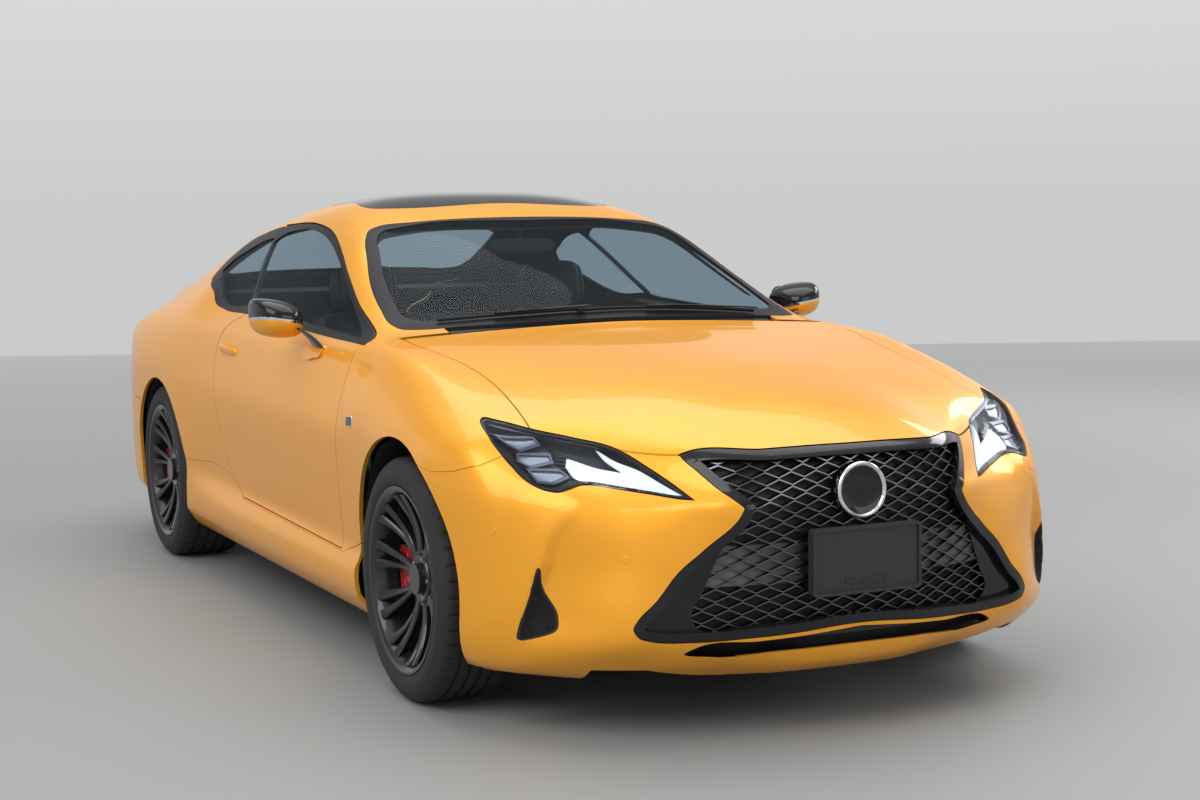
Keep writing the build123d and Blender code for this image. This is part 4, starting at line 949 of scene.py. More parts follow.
# side intakes with blades
well = carve(SLAB, keep(prism("y", grown(VENT, -0.2), *AHEAD)))
well = carve(well, drop(carve(layer(-8, 60), keep(prism("y", grown(VENT, -4), *AHEAD)))))
smooth_piece("side_intake_wells", both_sides(well), "car_body", LINER)
for k in range(5):
    z = 292 + 30 * k
    blade = carve(layer(7, 52),
                  keep(prism("y", grown(VENT, -3), *AHEAD),
                       prism("x", [(-2200, z), (-1900, z + 26), (-1900, z + 34), (-2200, z + 9)], 500, 1000)))
    if blade.polygons:
        smooth_piece(f"side_intake_blades_{k + 1}", both_sides(blade), "car_body", DARK_CHROME)

# washer covers and parking sensors
cap = outline([(731, 623), (697, 622), (693, 609), (709, 599), (738, 597), (745, 608)], 4)
smooth_piece("washer_covers",
             both_sides(carve(layer(-8, 4), keep(grow_surface(*COARSE, inset=-2), prism("y", cap, *AHEAD)))),
             "car_body", ORANGE)


def on_skin(x, y, z):
    """Nearest point of the skin to a point in millimetres, and its normal, in metres."""
    spot = TREE.find_nearest(Vector((x, y, z)) * 0.001)[0]
    return spot, Vector(surface_normals([tuple(spot)])[1][0])


def circle(sides):
    """Cosine and sine of even steps round a circle."""
    return [(math.cos(2 * math.pi * k / sides), math.sin(2 * math.pi * k / sides)) for k in range(sides)]


def ring_faces(rows, sides):
    """Faces between rows of rings of points."""
    return [[j * sides + k, j * sides + (k + 1) % sides, (j + 1) * sides + (k + 1) % sides, (j + 1) * sides + k]
            for j in range(rows - 1) for k in range(sides)]


def loft(sections):
    """A closed solid through rings of points, in millimetres."""
    n = len(sections[0])
    faces = ring_faces(len(sections), n)
    faces += [list(range(n))[::-1], [(len(sections) - 1) * n + j for j in range(n)]]
    return mesh_of([tuple(p) for ring in sections for p in ring], faces)


def disc_stack(rings, sides=48):
    """A turned solid about +Z from (radius, height) pairs, in millimetres."""
    return loft([[(r * c, r * s, h) for c, s in circle(sides)] for r, h in rings])


def turned_to(mesh, spot, normal):
    """Sets a mesh made about +Z at a point in metres, with its Z along a direction."""
    turn = normal.to_track_quat("Z", "Y").to_matrix().to_4x4()
    mesh.transform(Matrix.Translation(spot) @ turn)
    return mesh


def fitting(rings, sides, spot, way):
    """A turned solid from (radius, height) pairs, set at a point in millimetres along a direction."""
    return turned_to(disc_stack(rings, sides), Vector(spot) * 0.001, Vector(way))


def smooth_faces(obj):
    """Shades a piece smooth."""
    for p in obj.data.polygons:
        p.use_smooth = True
    return obj


def subdivided(obj, levels):
    """Rounds a piece by subdivision."""
    mod = obj.modifiers.new("fine", "SUBSURF")
    mod.levels = mod.render_levels = levels
    return obj


def soft(obj, angle=40, bevel=0.0, segments=2):
    """Rounds a piece's edges and shades it smooth."""
    if bevel:
        mod = obj.modifiers.new("round", "BEVEL")
        mod.width, mod.segments = bevel * 0.001, segments
        mod.limit_method, mod.angle_limit = "ANGLE", math.radians(35)
        mod.harden_normals = False
    smooth_faces(obj)
    obj.data.set_sharp_from_angle(angle=math.radians(angle))
    return obj


sensors = []
for x, y, z in ((831, -1925, 532), (560, -2140, 470), (905, -1760, 560)):
    for sign in (1, -1):
        button = disc_stack([(9.5, -2), (9.5, 0.6), (8.6, 1.2), (7.6, 1.2), (7.4, 0.6), (0.5, 0.6)], 32)
        sensors.append(turned_to(button, *on_skin(sign * x, y, z)))
soft(place("parking_sensors_front", merged(sensors), "car_body", ORANGE))

# bare roundel, with a bright ring
spot = Vector((0, front_y(np.array([0.0]), np.array([624.0]))[0] * 0.001 + 0.002, 0.624))
normal = Vector((0, -1, 0.05)).normalized()
ring = disc_stack([(72, -14), (72, 0), (70, 5), (66, 7), (62, 5), (60, 1), (59, 0), (30, 1.5), (1, 2)], 96)
roundel = place("grille_roundel", turned_to(ring, spot, normal), "car_body", [GLOSS, CHROME])
for p in soft(roundel, 50).data.polygons:
    if 0.0605 < (p.center - spot).length < 0.0745 and p.normal.dot(normal) > -0.2:
        p.material_index = 1

# ---------------------------------------------------------------- number plate holder
def rounded(x, z, radius, steps=6):
    """A rectangle about the origin with rounded corners, as a closed line."""
    pts = []
    for cx, cz, a0 in ((x - radius, z - radius, 0), (-x + radius, z - radius, 90),
                       (-x + radius, -z + radius, 180), (x - radius, -z + radius, 270)):
        for k in range(steps + 1):
            a = math.radians(a0 + 90 * k / steps)
            pts.append((cx + radius * math.cos(a), cz + radius * math.sin(a)))
    return np.array(pts)


PLATE_Z = 454
holder = [carve(prism("y", rounded(158, 84, 10) + [0, PLATE_Z], -2347.2, -2322),
                drop(prism("y", rounded(150, 76, 6) + [0, PLATE_Z], -2360, -2341)))]
for x in (-89, 89):
    screw = [(8.5, -6), (8.5, 0), (7.6, 1.2), (5.6, 1.6), (4.2, 0.4), (0.5, 0.4)]
    holder.append(fitting(screw, 32, (x, -2341, 500), (0, -1, 0)))
for k in range(9):
    holder.append(prism("y", rounded(11, 3, 2.5, 3) + [-120 + 30 * k, 392], -2343, -2340))
holder.append(carve(prism("y", rounded(64, 6, 5, 3) + [0, 402], -2344, -2340),
                    drop(prism("y", rounded(61, 3.4, 3, 3) + [0, 402], -2360, -2342.5))))
soft(place("plate_holder", merged(holder), "car_body", PLASTIC, ["number_plate_holder"]), 40, 0.8)

# ---------------------------------------------------------------- wheels
def turned(profile, sides, centre_x=0.0, shape=None):
    """A turned solid about the X axis from a closed line of (x, radius); shape may change a radius."""
    n = len(profile)
    points = []
    for k, (c, s) in enumerate(circle(sides)):
        for j, (x, r) in enumerate(profile):
            q = r if shape is None else shape(j, k, x, r)
            points.append((centre_x + x, q * c, q * s))
    faces = [[k * n + j, k * n + (j + 1) % n, (k + 1) % sides * n + (j + 1) % n, (k + 1) % sides * n + j]
             for k in range(sides) for j in range(n)]
    return mesh_of(points, faces)


def tyre_mesh(width):
    """A tyre with four grooves round it and cross cuts of three depths."""
    half = width / 2
    edge = half - 34
    side = [(-half + inward, r) for inward, r in (
        (14, 244), (10, 256), (5, 262), (4.4, 266), (2.5, 268), (1, 276), (0.4, 288), (1.6, 299), (2.2, 300),
        (2.2, 303), (4, 304), (7, 312), (13, 321), (20, 327), (28, 331.5))]
    tread = [(-edge, 333)]
    for g, w in ((-0.62 * edge, 5), (-0.2 * edge, 5.5), (0.2 * edge, 5.5), (0.62 * edge, 5)):
        tread += [(g - w, 333.8), (g - w + 1, 327), (g + w - 1, 327), (g + w, 333.8)]
    tread += [(edge, 333)]
    outer = side + tread + [(-x, r) for x, r in reversed(side)]
    right = [(half - 16, 250), (half - 9, 275), (half - 14, 305), (half - 40, 322)]
    inner = right + [(-x, r) for x, r in reversed(right)]

    def block(j, k, x, r):
        if r < 326 or r > 334 or j >= len(outer) or r == 327:
            return r
        if abs(x) > 0.62 * edge + 4:
            return r - (5.0 if k % 6 == 0 else 0.0)
        if abs(x) > 0.2 * edge + 4:
            return r - (4.5 if (k + (2 if x > 0 else 0)) % 8 == 0 else 0.0)
        return r - (1.8 if k % 10 == 0 else 0.0)
    return turned(outer + inner, 288, 0.0, block)


def rim_barrel(width):
    """The rim's well and lips, closed, with x measured from the wheel's middle."""
    half = width / 2 - 5
    return [(-half, 257), (-half + 3, 258), (-half + 7, 256), (-half + 8, 243), (-half + 40, 240),
            (-half + 62, 232), (half - 60, 232), (half - 32, 240), (half - 9, 243), (half - 7, 255),
            (half - 3.5, 257), (half, 255.5), (half - 0.6, 250), (half - 4, 243), (half - 11, 236),
            (half - 26, 230), (half - 60, 224), (-half + 60, 222), (-half + 20, 232), (-half + 6, 240)]


def spoke_mesh(hub_x, rim_x, angle, lean, twist):
    """One thin spoke from the hub to the rim, leaning sideways as it goes outwards."""
    steps = 12
    points = []
    for k in range(steps + 1):
        t = k / steps
        r = 52 + (232 - 52) * t
        a = angle + math.radians(lean) * (0.35 + 0.65 * t ** 1.3)
        face = hub_x + (rim_x - hub_x) * t ** 2.1 - 6 * math.sin(math.pi * t)
        half = 12.5 - 4.0 * math.sin(math.pi * min(1, t * 1.15)) + (3.0 * max(0, t - 0.85) / 0.15)
        deep = 30 - 12 * t
        ring = [(-half, -4.5), (-half * 0.62, 0), (half * 0.62, -1.2 * twist - 0.4), (half, -5),
                (half * 0.7, -deep), (-half * 0.7, -deep)]
        for s, dx in ring:
            y, z = r * math.cos(a) - s * math.sin(a), r * math.sin(a) + s * math.cos(a)
            points.append((face + dx, y, z))
    n = 6
    faces = ring_faces(steps + 1, n) + [list(range(n))[::-1], [steps * n + j for j in range(n)]]
    return mesh_of(points, faces)


def shifted(mesh, x, y, z):
    """Moves a mesh by millimetres."""
    mesh.transform(Matrix.Translation(Vector((x, y, z)) * 0.001))
    return mesh


def wheel(corner, side, sign, centre_x, width, hub_face, axle_y):
    """Tyre, spoked rim, hub and brake disc of one wheel, on the left or mirrored."""
    def put(mesh):
        return on_side(shifted(mesh, 0, axle_y, AXLE_Z), sign)
    body = f"wheel_{corner}_{side}"
    tyre = place(f"tyre_{corner}_{side}", put(shifted(tyre_mesh(width), centre_x, 0, 0)), body, TYRE,
                 [f"{corner}_tyre_{side}"])
    soft(tyre, 28)
    parts = [turned(rim_barrel(width), 144, centre_x)]
    for k in range(10):
        a = 2 * math.pi * (k + 0.25) / 10
        for way in (1, -1):
            parts.append(spoke_mesh(hub_face - 4, centre_x + width / 2 - 15, a, 7.0 * way, way))
    hub = [(-46, 20), (-46, 66), (-26, 70), (-6, 68), (-1, 64), (0, 58), (-3, 46), (-3.6, 45), (-3.6, 43.6),
           (-1, 43.4), (8, 42.6), (12, 38), (12.6, 34), (11.4, 31.5), (11.4, 6), (9, 5), (9, 0.5), (-40, 0.5)]
    parts.append(turned([(hub_face + x, r) for x, r in hub], 96))
    rim = place(f"rim_{corner}_{side}", put(merged(parts)), body, RIM, [f"{corner}_rim_{side}"])
    soft(rim, 32)
    bolts = []
    for k in range(5):
        a = 2 * math.pi * (k + 0.5) / 5
        nut = [(8.2, -12), (8.2, 1.5), (7.4, 3), (4.8, 3.4), (4.4, 0.5), (0.5, 0.5)]
        bolts.append(fitting(nut, 6, (hub_face - 3, 55.5 * math.cos(a), 55.5 * math.sin(a)), (1, 0, 0)))
    soft(place(f"wheel_nuts_{corner}_{side}", put(merged(bolts)), body, STEEL), 30)
    x0 = hub_face - 62
    vanes = [(x0 + x, r) for x, r in (
        (0, 96), (0, 163), (1, 165), (8.5, 165), (9, 161), (17, 161), (17.5, 165), (25, 165), (26, 163), (26, 98),
        (25, 96), (25, 80), (52, 78), (52, 60), (5, 60), (5, 88))]
    disc = place(f"brake_disc_{corner}_{side}", put(turned(vanes, 120)), body, BRAKE)
    soft(disc, 30)


for side, sign in SIDES:
    wheel("front", side, sign, 790, 235, 847, FRONT_AXLE)
    wheel("rear", side, sign, 780, 265, 868, REAR_AXLE)


def caliper(disc_x, axle_y):
    """Fixed caliper over the back edge of the disc."""
    outer = disc_x + 42.5
    line = [(108, -64), (200, -60), (206, -30), (207, 0), (206, 30), (200, 60), (108, 64), (104, 40), (110, 0),
            (104, -40)]
    over = [(172, -62), (202, -60), (209, -30), (210, 0), (209, 30), (202, 60), (172, 62), (174, 20), (174, -20)]
    pieces = [prism("x", np.array(shape, float) + [axle_y, AXLE_Z], x0, x1) for shape, x0, x1 in (
        (line, disc_x - 21, disc_x - 7), (line, disc_x + 33, outer), (over, disc_x - 20, outer - 1))]
    for dz in (-34, 0, 34):
        piston = [(17, -4), (17, 1.8), (15, 3), (13.4, 3), (12.6, 1.6), (0.5, 1.6)]
        pieces.append(fitting(piston, 32, (outer, axle_y + 150, AXLE_Z + dz), (1, 0, 0)))
    return merged(pieces)


for side, sign in SIDES:
    for corner, body, x, y in (("front", f"knuckle_{side}", 785, FRONT_AXLE), ("rear", "car_body", 806, REAR_AXLE)):
        made = place(f"brake_caliper_{corner}_{side}", on_side(caliper(x, y), sign), body, CALIPER)
        soft(made, 35, 1.6)

# ---------------------------------------------------------------- door mirrors
def mirror_case():
    """The mirror's case as rings across X, from beside the door to the tip, with its open side to the rear."""
    rings = []
    # x, how deep and how tall the case is there, and its lowest and highest z
    for x, deep, tall, low, high in (
            (852, 0.30, 0.42, 958, 1010), (860, 0.62, 0.66, 949, 1026), (880, 0.88, 0.86, 942, 1042),
            (908, 1.0, 0.97, 940, 1054), (940, 1.0, 1.0, 941, 1062), (970, 0.95, 0.97, 947, 1065),
            (992, 0.82, 0.86, 958, 1065), (1004, 0.64, 0.68, 972, 1061), (1010.5, 0.40, 0.42, 988, 1052),
            (1012.6, 0.15, 0.16, 1003, 1040)):
        mid, half = (low + high) / 2, (high - low) / 2
        front = -368 - 150 * deep
        ring = []
        for c, s in circle(40):
            if c <= 0:
                y = -392 + (front + 392) * abs(c) ** 0.75
            else:
                y = -392 + 34 * deep ** 0.3 * min(1.0, abs(c) ** 0.35)
            ring.append((x, y, mid + half * math.copysign(abs(s) ** 0.8, s)))
        rings.append(ring)
    return loft(rings)


for side, sign in SIDES:
    obj = place(f"mirror_case_{side}", on_side(mirror_case(), sign), f"door_{side}", [GLOSS, CHROME, ORANGE],
                [f"door_mirror_{side}"])
    fine = after_modifiers(subdivided(obj, 2))
    obj.modifiers.clear()
    obj.data = fine
    for p in fine.polygons:
        x, y, z = [c * 1000 for c in p.center]
        line_z = 994 + 0.16 * (abs(x) - 935) - 0.10 * (y + 440)
        p.material_index = 0 if z > line_z + 3.5 or y > -372 else (1 if z > line_z - 5 else 2)
        p.use_smooth = True
    glass = prism("y", rounded(62, 36, 26, 10) + [936 * sign, 1014], -361, -357.5)
    soft(place(f"mirror_glass_{side}", glass, f"door_{side}", CHROME), 30)
    arm = []
    for x, y, z, wide, tall in ((846, -572, 908, 62, 9), (850, -556, 926, 54, 10), (860, -528, 946, 46, 12),
                                (876, -492, 964, 38, 15), (894, -458, 980, 34, 18), (912, -440, 996, 30, 18)):
        arm.append([(sign * (x + tall * c), y + wide * s, z + 0.35 * tall * c) for c, s in circle(20)])
    smooth_faces(subdivided(place(f"mirror_arm_{side}", loft(arm), f"door_{side}", GLOSS), 2))
    foot = outline([(-439, 902), (-459, 924), (-509, 934), (-574, 934), (-617, 916), (-610, 897), (-554, 884),
                    (-474, 878)], 6)
    pad = carve(layer(-8, 4), keep(prism("x", foot, 700, 1000)))
    smooth_piece(f"mirror_foot_{side}", on_side(pad, sign), f"door_{side}", ORANGE)

# ---------------------------------------------------------------- door handles
for side, sign in SIDES:
    bar = []
    for y, z, thick, tall, out in (
            (296, 852, 5, 9, 2), (304, 853, 7, 13, 7), (330, 855, 8, 15, 13), (380, 857, 8.5, 16, 15),
            (430, 859, 8.5, 16, 15), (478, 861, 8, 15, 12), (504, 862, 7, 13, 6), (512, 863, 5, 9, 1)):
        at, out_n = on_skin(sign * 885, y, z)
        at = at * 1000 + out_n * (out - 6)
        bar.append([tuple(at + out_n * (thick * c) + Vector((0, 0, 1)) * (tall * s)) for c, s in circle(20)])
    smooth_faces(subdivided(place(f"door_handle_{side}", loft(bar), f"door_{side}", ORANGE), 2))

# ---------------------------------------------------------------- small badge on each wing
for side, sign in SIDES:
    spot, normal = on_skin(sign * 895, -1011, 729)
    across = Vector((0, 1, 0)).cross(normal).cross(normal) * -1
    stand = Matrix.Translation(spot) @ Matrix((across, normal.cross(across), normal)).transposed().to_4x4()
    line = [(-26, -18), (30, -14), (26, 18), (-30, 14)]
    for name, mesh, mat in (("wing_badge_rim", prism("z", line, -2, 3.0), CHROME),
                            ("wing_badge", prism("z", [(a * 0.86, b * 0.8) for a, b in line], 2.5, 3.8), GLOSS)):
        mesh.transform(stand)
        soft(place(f"{name}_{side}", mesh, "car_body", mat), 30, 0.8)


def pillow(size, power=5.0, cuts=22, bolster=0.0, seams=(), ribs=(), crown=0.0):
    """A stuffed shape about the origin, thick along Z: side rolls, sewn seams along Y and cross ribs."""
    bm = bmesh.new()
    bmesh.ops.create_cube(bm, size=2)
    bmesh.ops.subdivide_edges(bm, edges=bm.edges, cuts=cuts, use_grid_fill=True)
    hx, hy, hz = size
    for v in bm.verts:
        x, y, z = v.co
        k = (abs(x) ** power + abs(y) ** power + abs(z) ** power) ** (-1 / power)
        top = max(0.0, z * k) ** 0.5
        x, y, z = x * k, y * k, z * k
        px, py, pz = x * hx, y * hy, z * hz
        roll = min(1.0, max(0.0, (abs(x) - 0.55) / 0.25))
        pz += top * bolster * roll * roll * (3 - 2 * roll) * (1 - 0.5 * abs(y) ** 3)
        pz += top * crown * (1 - x * x) * (1 - y * y)
        for s in seams:
            pz -= top * 7 * math.exp(-((abs(px) - s) / 5.0) ** 2)
        if abs(px) < (seams[-1] if seams else hx):
            for r in ribs:
                pz -= top * 4.5 * math.exp(-((py - r) / 5.0) ** 2)
        v.co = (px, py, pz)
    for f in bm.faces:
        f.smooth = True
    mesh = bpy.data.meshes.new("pillow")
    bm.to_mesh(mesh)
    bm.free()
    mesh.transform(Matrix.Scale(0.001, 4))
    return mesh


def posed(mesh, spot, lean=0.0):
    """Sets a mesh at a point in millimetres, leaned about X by degrees."""
    mesh.transform(Matrix.Translation(Vector(spot) * 0.001) @ Matrix.Rotation(math.radians(lean), 4, "X"))
    return mesh


# ---------------------------------------------------------------- tail
RED_CORE = outline([(482, 806, 0), (640, 782), (800, 800), (880, 822, 0), (866, 838), (780, 822), (640, 806),
                    (512, 826, 0), (504, 870), (590, 926, 0), (574, 934, 0), (480, 878)], 6)
bowl = carve(SLAB, keep(prism("y", grown(TAIL_LAMP, -0.6), *BEHIND), LAYER[4]))
hollow = carve(layer(-8, 34), keep(prism("y", grown(TAIL_LAMP, -5), 2016, 2600)))
smooth_piece("tail_lamp_housings", both_sides(carve(bowl, drop(hollow))), "car_body", LAMP_BODY,
             ["tail_lamps"])
smooth_piece("tail_lamp_covers", pick_y(COVER, TAIL_LAMP, -1, BEHIND), "car_body", TAIL_GLASS)
smooth_piece("tail_light_bars", pick_y(layer(14, 28), RED_CORE, 0, BEHIND), "car_body", RED_LIGHT)
for k, z in enumerate((846, 862, 878)):
    bar = outline([(600, z, 0), (850, z + 12, 0), (850, z + 18, 0), (600, z + 6, 0)], 20)
    smooth_piece(f"tail_lamp_ribs_{k + 1}", pick_y(layer(20, 34), bar, 0, BEHIND), "car_body", DARK_CHROME)

diffuser_line = outline(both([(0, 363, 0), (420, 358), (556, 328), (634, 270), (652, 170, 0), (0, 170, 0)]))
TIP_X, TIP_Z = 290, 245
tips = [prism("y", rounded(47, 47, 46, 12) + [sign * TIP_X, TIP_Z], 2000, 2600) for sign in (1, -1)]
panel = carve(layer(7, 20), keep(prism("y", grown(diffuser_line, -1), 2100, 2600)), drop(*tips))
smooth_piece("rear_diffuser", panel, "car_body", PLASTIC)
fins = [prism("x", [(2180, 172), (2318, 180), (2330, 300), (2322, 330), (2180, 330)], x - 4, x + 4)
        for x in (-120, -40, 40, 120)]
soft(place("rear_diffuser_fins", merged(fins), "car_body", PLASTIC), 30, 2)
sleeves = [fitting([(26, 0), (26, 2520), (1, 2520)], 32, (0, -690, 158), (0, 1, 0))]
pipe = [(37, 0), (37, 262), (36, 265), (33.5, 265), (32.5, 261), (32.5, 120), (1, 118)]
sleeves += [fitting(pipe, 64, (sign * TIP_X, 2057, TIP_Z), (0, 1, 0)) for sign in (1, -1)]
soft(place("exhaust_pipes", merged(sleeves), "car_body", CHROME, ["exhaust"]), 40)
# dark plugs inside the tail pipes: soot, and a painted shade where the real pipes run on into darkness
plugs = [fitting([(32, 0), (32, 60), (31, 62), (4, 62), (1, 60)], 48, (sign * TIP_X, 2150, TIP_Z), (0, 1, 0))
         for sign in (1, -1)]
place("exhaust_soot_and_shade", merged(plugs), "car_body", LINER)
silencer = pillow((324, 112, 46), power=7, cuts=16, ribs=(-80, -40, 0, 40, 80), seams=(300,))
soft(place("exhaust_silencer", posed(silencer, (0, 1945, 252)), "car_body", STEEL), 60)
STRIP = outline(both([(0, 872, 0), (430, 868, 0), (436, 852, 0), (0, 850, 0)]), 30)
strip = carve(layer(-8, 7), keep(grow_surface(*COARSE, inset=-4), prism("y", STRIP, 2000, 2600)))
smooth_piece("boot_lid_strip", strip, "boot_lid", DARK_CHROME)
holder = carve(prism("y", rounded(162, 62, 10) + [0, 772], 2200, 2344),
               drop(prism("y", rounded(154, 54, 6) + [0, 772], 2338, 2400), LAYER[14]))
soft(place("rear_plate_holder", holder, "boot_lid", PLASTIC), 35, 0.8)
# the reflectors take the glowing tail light material: their glow is painted light, as reflectors are no lamps
reflectors = outline([(560, 402, 0), (720, 408, 0), (722, 424, 0), (560, 420, 0)], 20)
smooth_piece("rear_reflectors",
             both_sides(carve(layer(-8, 4),
                              keep(grow_surface(*COARSE, inset=-2), prism("y", reflectors, *BEHIND)))), "car_body",
             RED_LIGHT)

# ---------------------------------------------------------------- door openings and the cabin's lining
jamb = carve(layer(14, 60), keep(prism("x", grown(DOOR, 36), 450, FAR_X)),
             drop(prism("x", grown(DOOR, GAP), *OUTBOARD), prism("x", grown(DLO, 0), *OUTBOARD),
                  prism("x", [(-1000, 900), (1000, 900), (1000, 1500), (-1000, 1500)], *OUTBOARD),
                  drum(402, 470, 1100, FRONT_AXLE, AXLE_Z), drum(366, 470, 1100, REAR_AXLE, AXLE_Z),
                  prism("z",
                        [(884 + 129 * math.cos(math.radians(a)), -788 + 129 * math.sin(math.radians(a)))
                         for a in range(0, 360, 6)], 200, 1000)))
smooth_piece("door_jambs", both_sides(jamb), "car_body", ORANGE)
lining = carve(layer(28, 34), keep(box_mesh((-1000, 1000), (-600, 1862), (350, 1500))),
               drop(*pair_x(grown(DOOR, 8), 0), *pair_x(DLO, 2), prism("z", grown(WS_GLASS, 4), 600, 1500),
                    prism("z", grown(REAR_GLASS, 4), 600, 1500), prism("z", grown(SUNROOF, -24), 600, 1500),
                    *arches(366, REAR_AXLE), box_mesh((-620, 620), (1500, 1900), (300, 900))))
smooth_piece("cabin_lining", lining, "car_body", TRIM)
boot = carve(layer(34, 46), keep(box_mesh((-1000, 1000), (1350, 2340), (300, 690))), drop(*arches(366, REAR_AXLE)))
smooth_piece("boot_lining", boot, "car_body", TRIM)
boot_bits = [box_mesh((-470, 470), (1352, 2240), (321, 332)), box_mesh((-560, 560), (1352, 1366), (332, 905))]
boot_bits += [carve(box_mesh((sign * 655 - 185, sign * 655 + 185), (1690, 2240), (321, 330)), keep(LAYER[46]))
              for sign in (1, -1)]
soft(place("boot_floor_mat", merged(boot_bits), "car_body", TRIM), 30, 3)


def cushion(name, mesh, replaces=(), body="car_body"):
    """A leather cushion, rounded by one level of subdivision."""
    obj = subdivided(place(name, mesh, body, LEATHER, replaces), 1)
    return obj


def bar_along(name, path, radius, mat, body="car_body", sides=14):
    """A piece shaped as a bent round bar through points in millimetres."""
    pts = [Vector(p) for p in path]
    rings = []
    for k, p in enumerate(pts):
        d = (pts[min(k + 1, len(pts) - 1)] - pts[max(k - 1, 0)]).normalized()
        across = d.orthogonal().normalized() if abs(d.z) > 0.99 else d.cross(Vector((0, 0, 1))).normalized()
        up = across.cross(d)
        rings.append([tuple(p + across * radius * c + up * radius * s) for c, s in circle(sides)])
    return smooth_faces(place(name, loft(rings), body, mat))


# front seats
for side, sign in SIDES:
    x = 370 * sign
    seat = pillow((236, 252, 62), bolster=46, seams=(128,), ribs=(-150, -90, -30, 30, 90))
    cushion(f"seat_cushion_{side}", posed(seat, (x, -80, 420), 5), replaces=["front_seats"] if sign > 0 else ())
    back = pillow((228, 286, 56), bolster=62, seams=(120,), ribs=(-170, -110, -50, 10, 70, 130, 190))
    cushion(f"seat_back_{side}", posed(back, (x, 322, 692), 75))
    rest = pillow((122, 84, 46), power=3.6, crown=10, seams=(96,))
    cushion(f"head_restraint_{side}", posed(rest, (x, 412, 1054), 80))
    for name, post_x in (("a", x - 52), ("b", x + 52)):
        bar_along(f"head_restraint_post_{side}_{name}",
                  [(post_x, 398, 930), (post_x, 408, 980), (post_x, 414, 1030)],
                  6, CHROME)
    base = merged([box_mesh((x - 190, x + 190), (-255, 190), (300, 372)),
                   box_mesh((x - 175, x - 140), (-262, 198), (222, 300)),
                   box_mesh((x + 140, x + 175), (-262, 198), (222, 300)),
                   box_mesh((x + sign * 196, x + sign * 226), (-190, 120), (330, 386))])
    soft(place(f"seat_frame_{side}", base, "car_body", PLASTIC), 30, 8, 3)

# rear seats
for side, sign in SIDES:
    x = 296 * sign
    bench = pillow((276, 190, 66), bolster=22, seams=(150,), ribs=(-110, -50, 10, 70))
    cushion(f"rear_seat_cushion_{side}", posed(bench, (x, 828, 418), 4), replaces=["rear_seat"] if sign > 0 else ())
    back = pillow((276, 232, 52), bolster=34, seams=(150,), ribs=(-130, -70, -10, 50, 110))
    cushion(f"rear_seat_back_{side}", posed(back, (x, 1160, 652), 63))
base = merged([box_mesh((-570, 570), (650, 880), (222, 372)), box_mesh((-60, 60), (700, 1010), (372, 470))])
soft(place("rear_seat_base", base, "car_body", TRIM), 30, 12, 3)

# dashboard
pad_line = outline([(-878, 650), (-878, 868), (-840, 900), (-770, 938), (-690, 938), (-618, 922), (-572, 872),
                    (-568, 838), (-592, 800), (-604, 716), (-650, 650), (-760, 628)], 12)
pad = prism("x", pad_line, -686, 686)
soft(place("dash_pad", pad, "car_body", TRIM, ["dashboard"]), 60, 8, 3)
hood = []
for t in (-1 + k / 6 for k in range(13)):
    r = math.sqrt(max(0.0, 1 - t * t)) * 0.97 + 0.03
    hood.append([(370 + 165 * t, -640 + 74 * r * c, 905 + 52 * r * s) for c, s in circle(28)])
soft(place("instrument_hood", loft(hood), "car_body", TRIM), 80)
dials = [fitting([(44, -6), (44, 3), (41, 5), (38, 2), (4, 1), (4, 4), (1, 4)], 48, (x, -566, 893), (0, 0.96, 0.25))
         for x in (320, 420)]
soft(place("instrument_dials", merged(dials), "car_body", DARK_CHROME), 40)
soft(place("dash_screen", box_mesh((-148, 148), (-636, -612), (868, 955)), "car_body", SCREEN), 30, 5,
     3)
trim_strip = merged([box_mesh((-672, -180), (-586, -568), (800, 812)),
                     box_mesh((540, 672), (-586, -568), (800, 812))])
soft(place("dash_bright_strips", trim_strip, "car_body", DARK_CHROME), 30, 1.5)
vents = []
for x0, x1 in ((-660, -560), (560, 660), (-140, -40), (40, 140)):
    vents += [box_mesh((x0, x1), (-580, -561), (826 + 8.5 * k, 826 + 8.5 * k + 2.4)) for k in range(5)]
    vents += [box_mesh((x, x + 4), (-584, -558), (820, 868)) for x in (x0 - 4, x1)]
soft(place("dash_vents", merged(vents), "car_body", GLOSS), 30, 0.6)
knobs = [fitting([(12, -8), (12, 8), (11, 10), (7, 10.6), (1, 10.4)], 24, (-90 + 36 * k, -596, 742),
                 Vector((0, 1, 0.15)).normalized()) for k in range(6)]
soft(place("dash_controls", merged(knobs), "car_body", DARK_CHROME), 40)

# console between the seats
line = outline([(-588, 340, 0), (-588, 640, 0), (-560, 646), (-440, 520), (-380, 500), (-60, 486), (-40, 484),
                (292, 484), (298, 340, 0)], 14)
soft(place("console_body", prism("x", line, -106, 106), "car_body", TRIM, ["centre_console"]), 50, 8,
     3)
soft(place("console_plate", box_mesh((-72, 72), (-370, -70), (496, 506)), "car_body", GLOSS), 30, 3,
     3)
cushion("console_armrest", posed(pillow((96, 150, 26), crown=4, cuts=14), (0, 140, 492)))
lever = [(26, 0), (24, 14), (12, 30), (9, 70), (14, 84), (21, 98), (22, 118), (17, 130), (6, 134), (1, 134)]
lever = fitting(lever, 32, (10, -250, 505), Vector((0, 0.12, 1)).normalized())
soft(place("gear_lever", lever, "car_body", LEATHER), 60)
cups = [fitting([(34, -2), (34, 4), (31, 5), (30, 2), (1, 1)], 40, (-34, y, 506), (0, 0, 1)) for y in (-150, -92)]
soft(place("cup_holders", merged(cups), "car_body", DARK_CHROME), 40)

# steering wheel and stalks
tilt = math.radians(24)
driver_way = Vector((0, math.cos(tilt), math.sin(tilt)))
up_way = Vector((0, -math.sin(tilt), math.cos(tilt)))
wheel_hub = Vector((370, -430, 800))


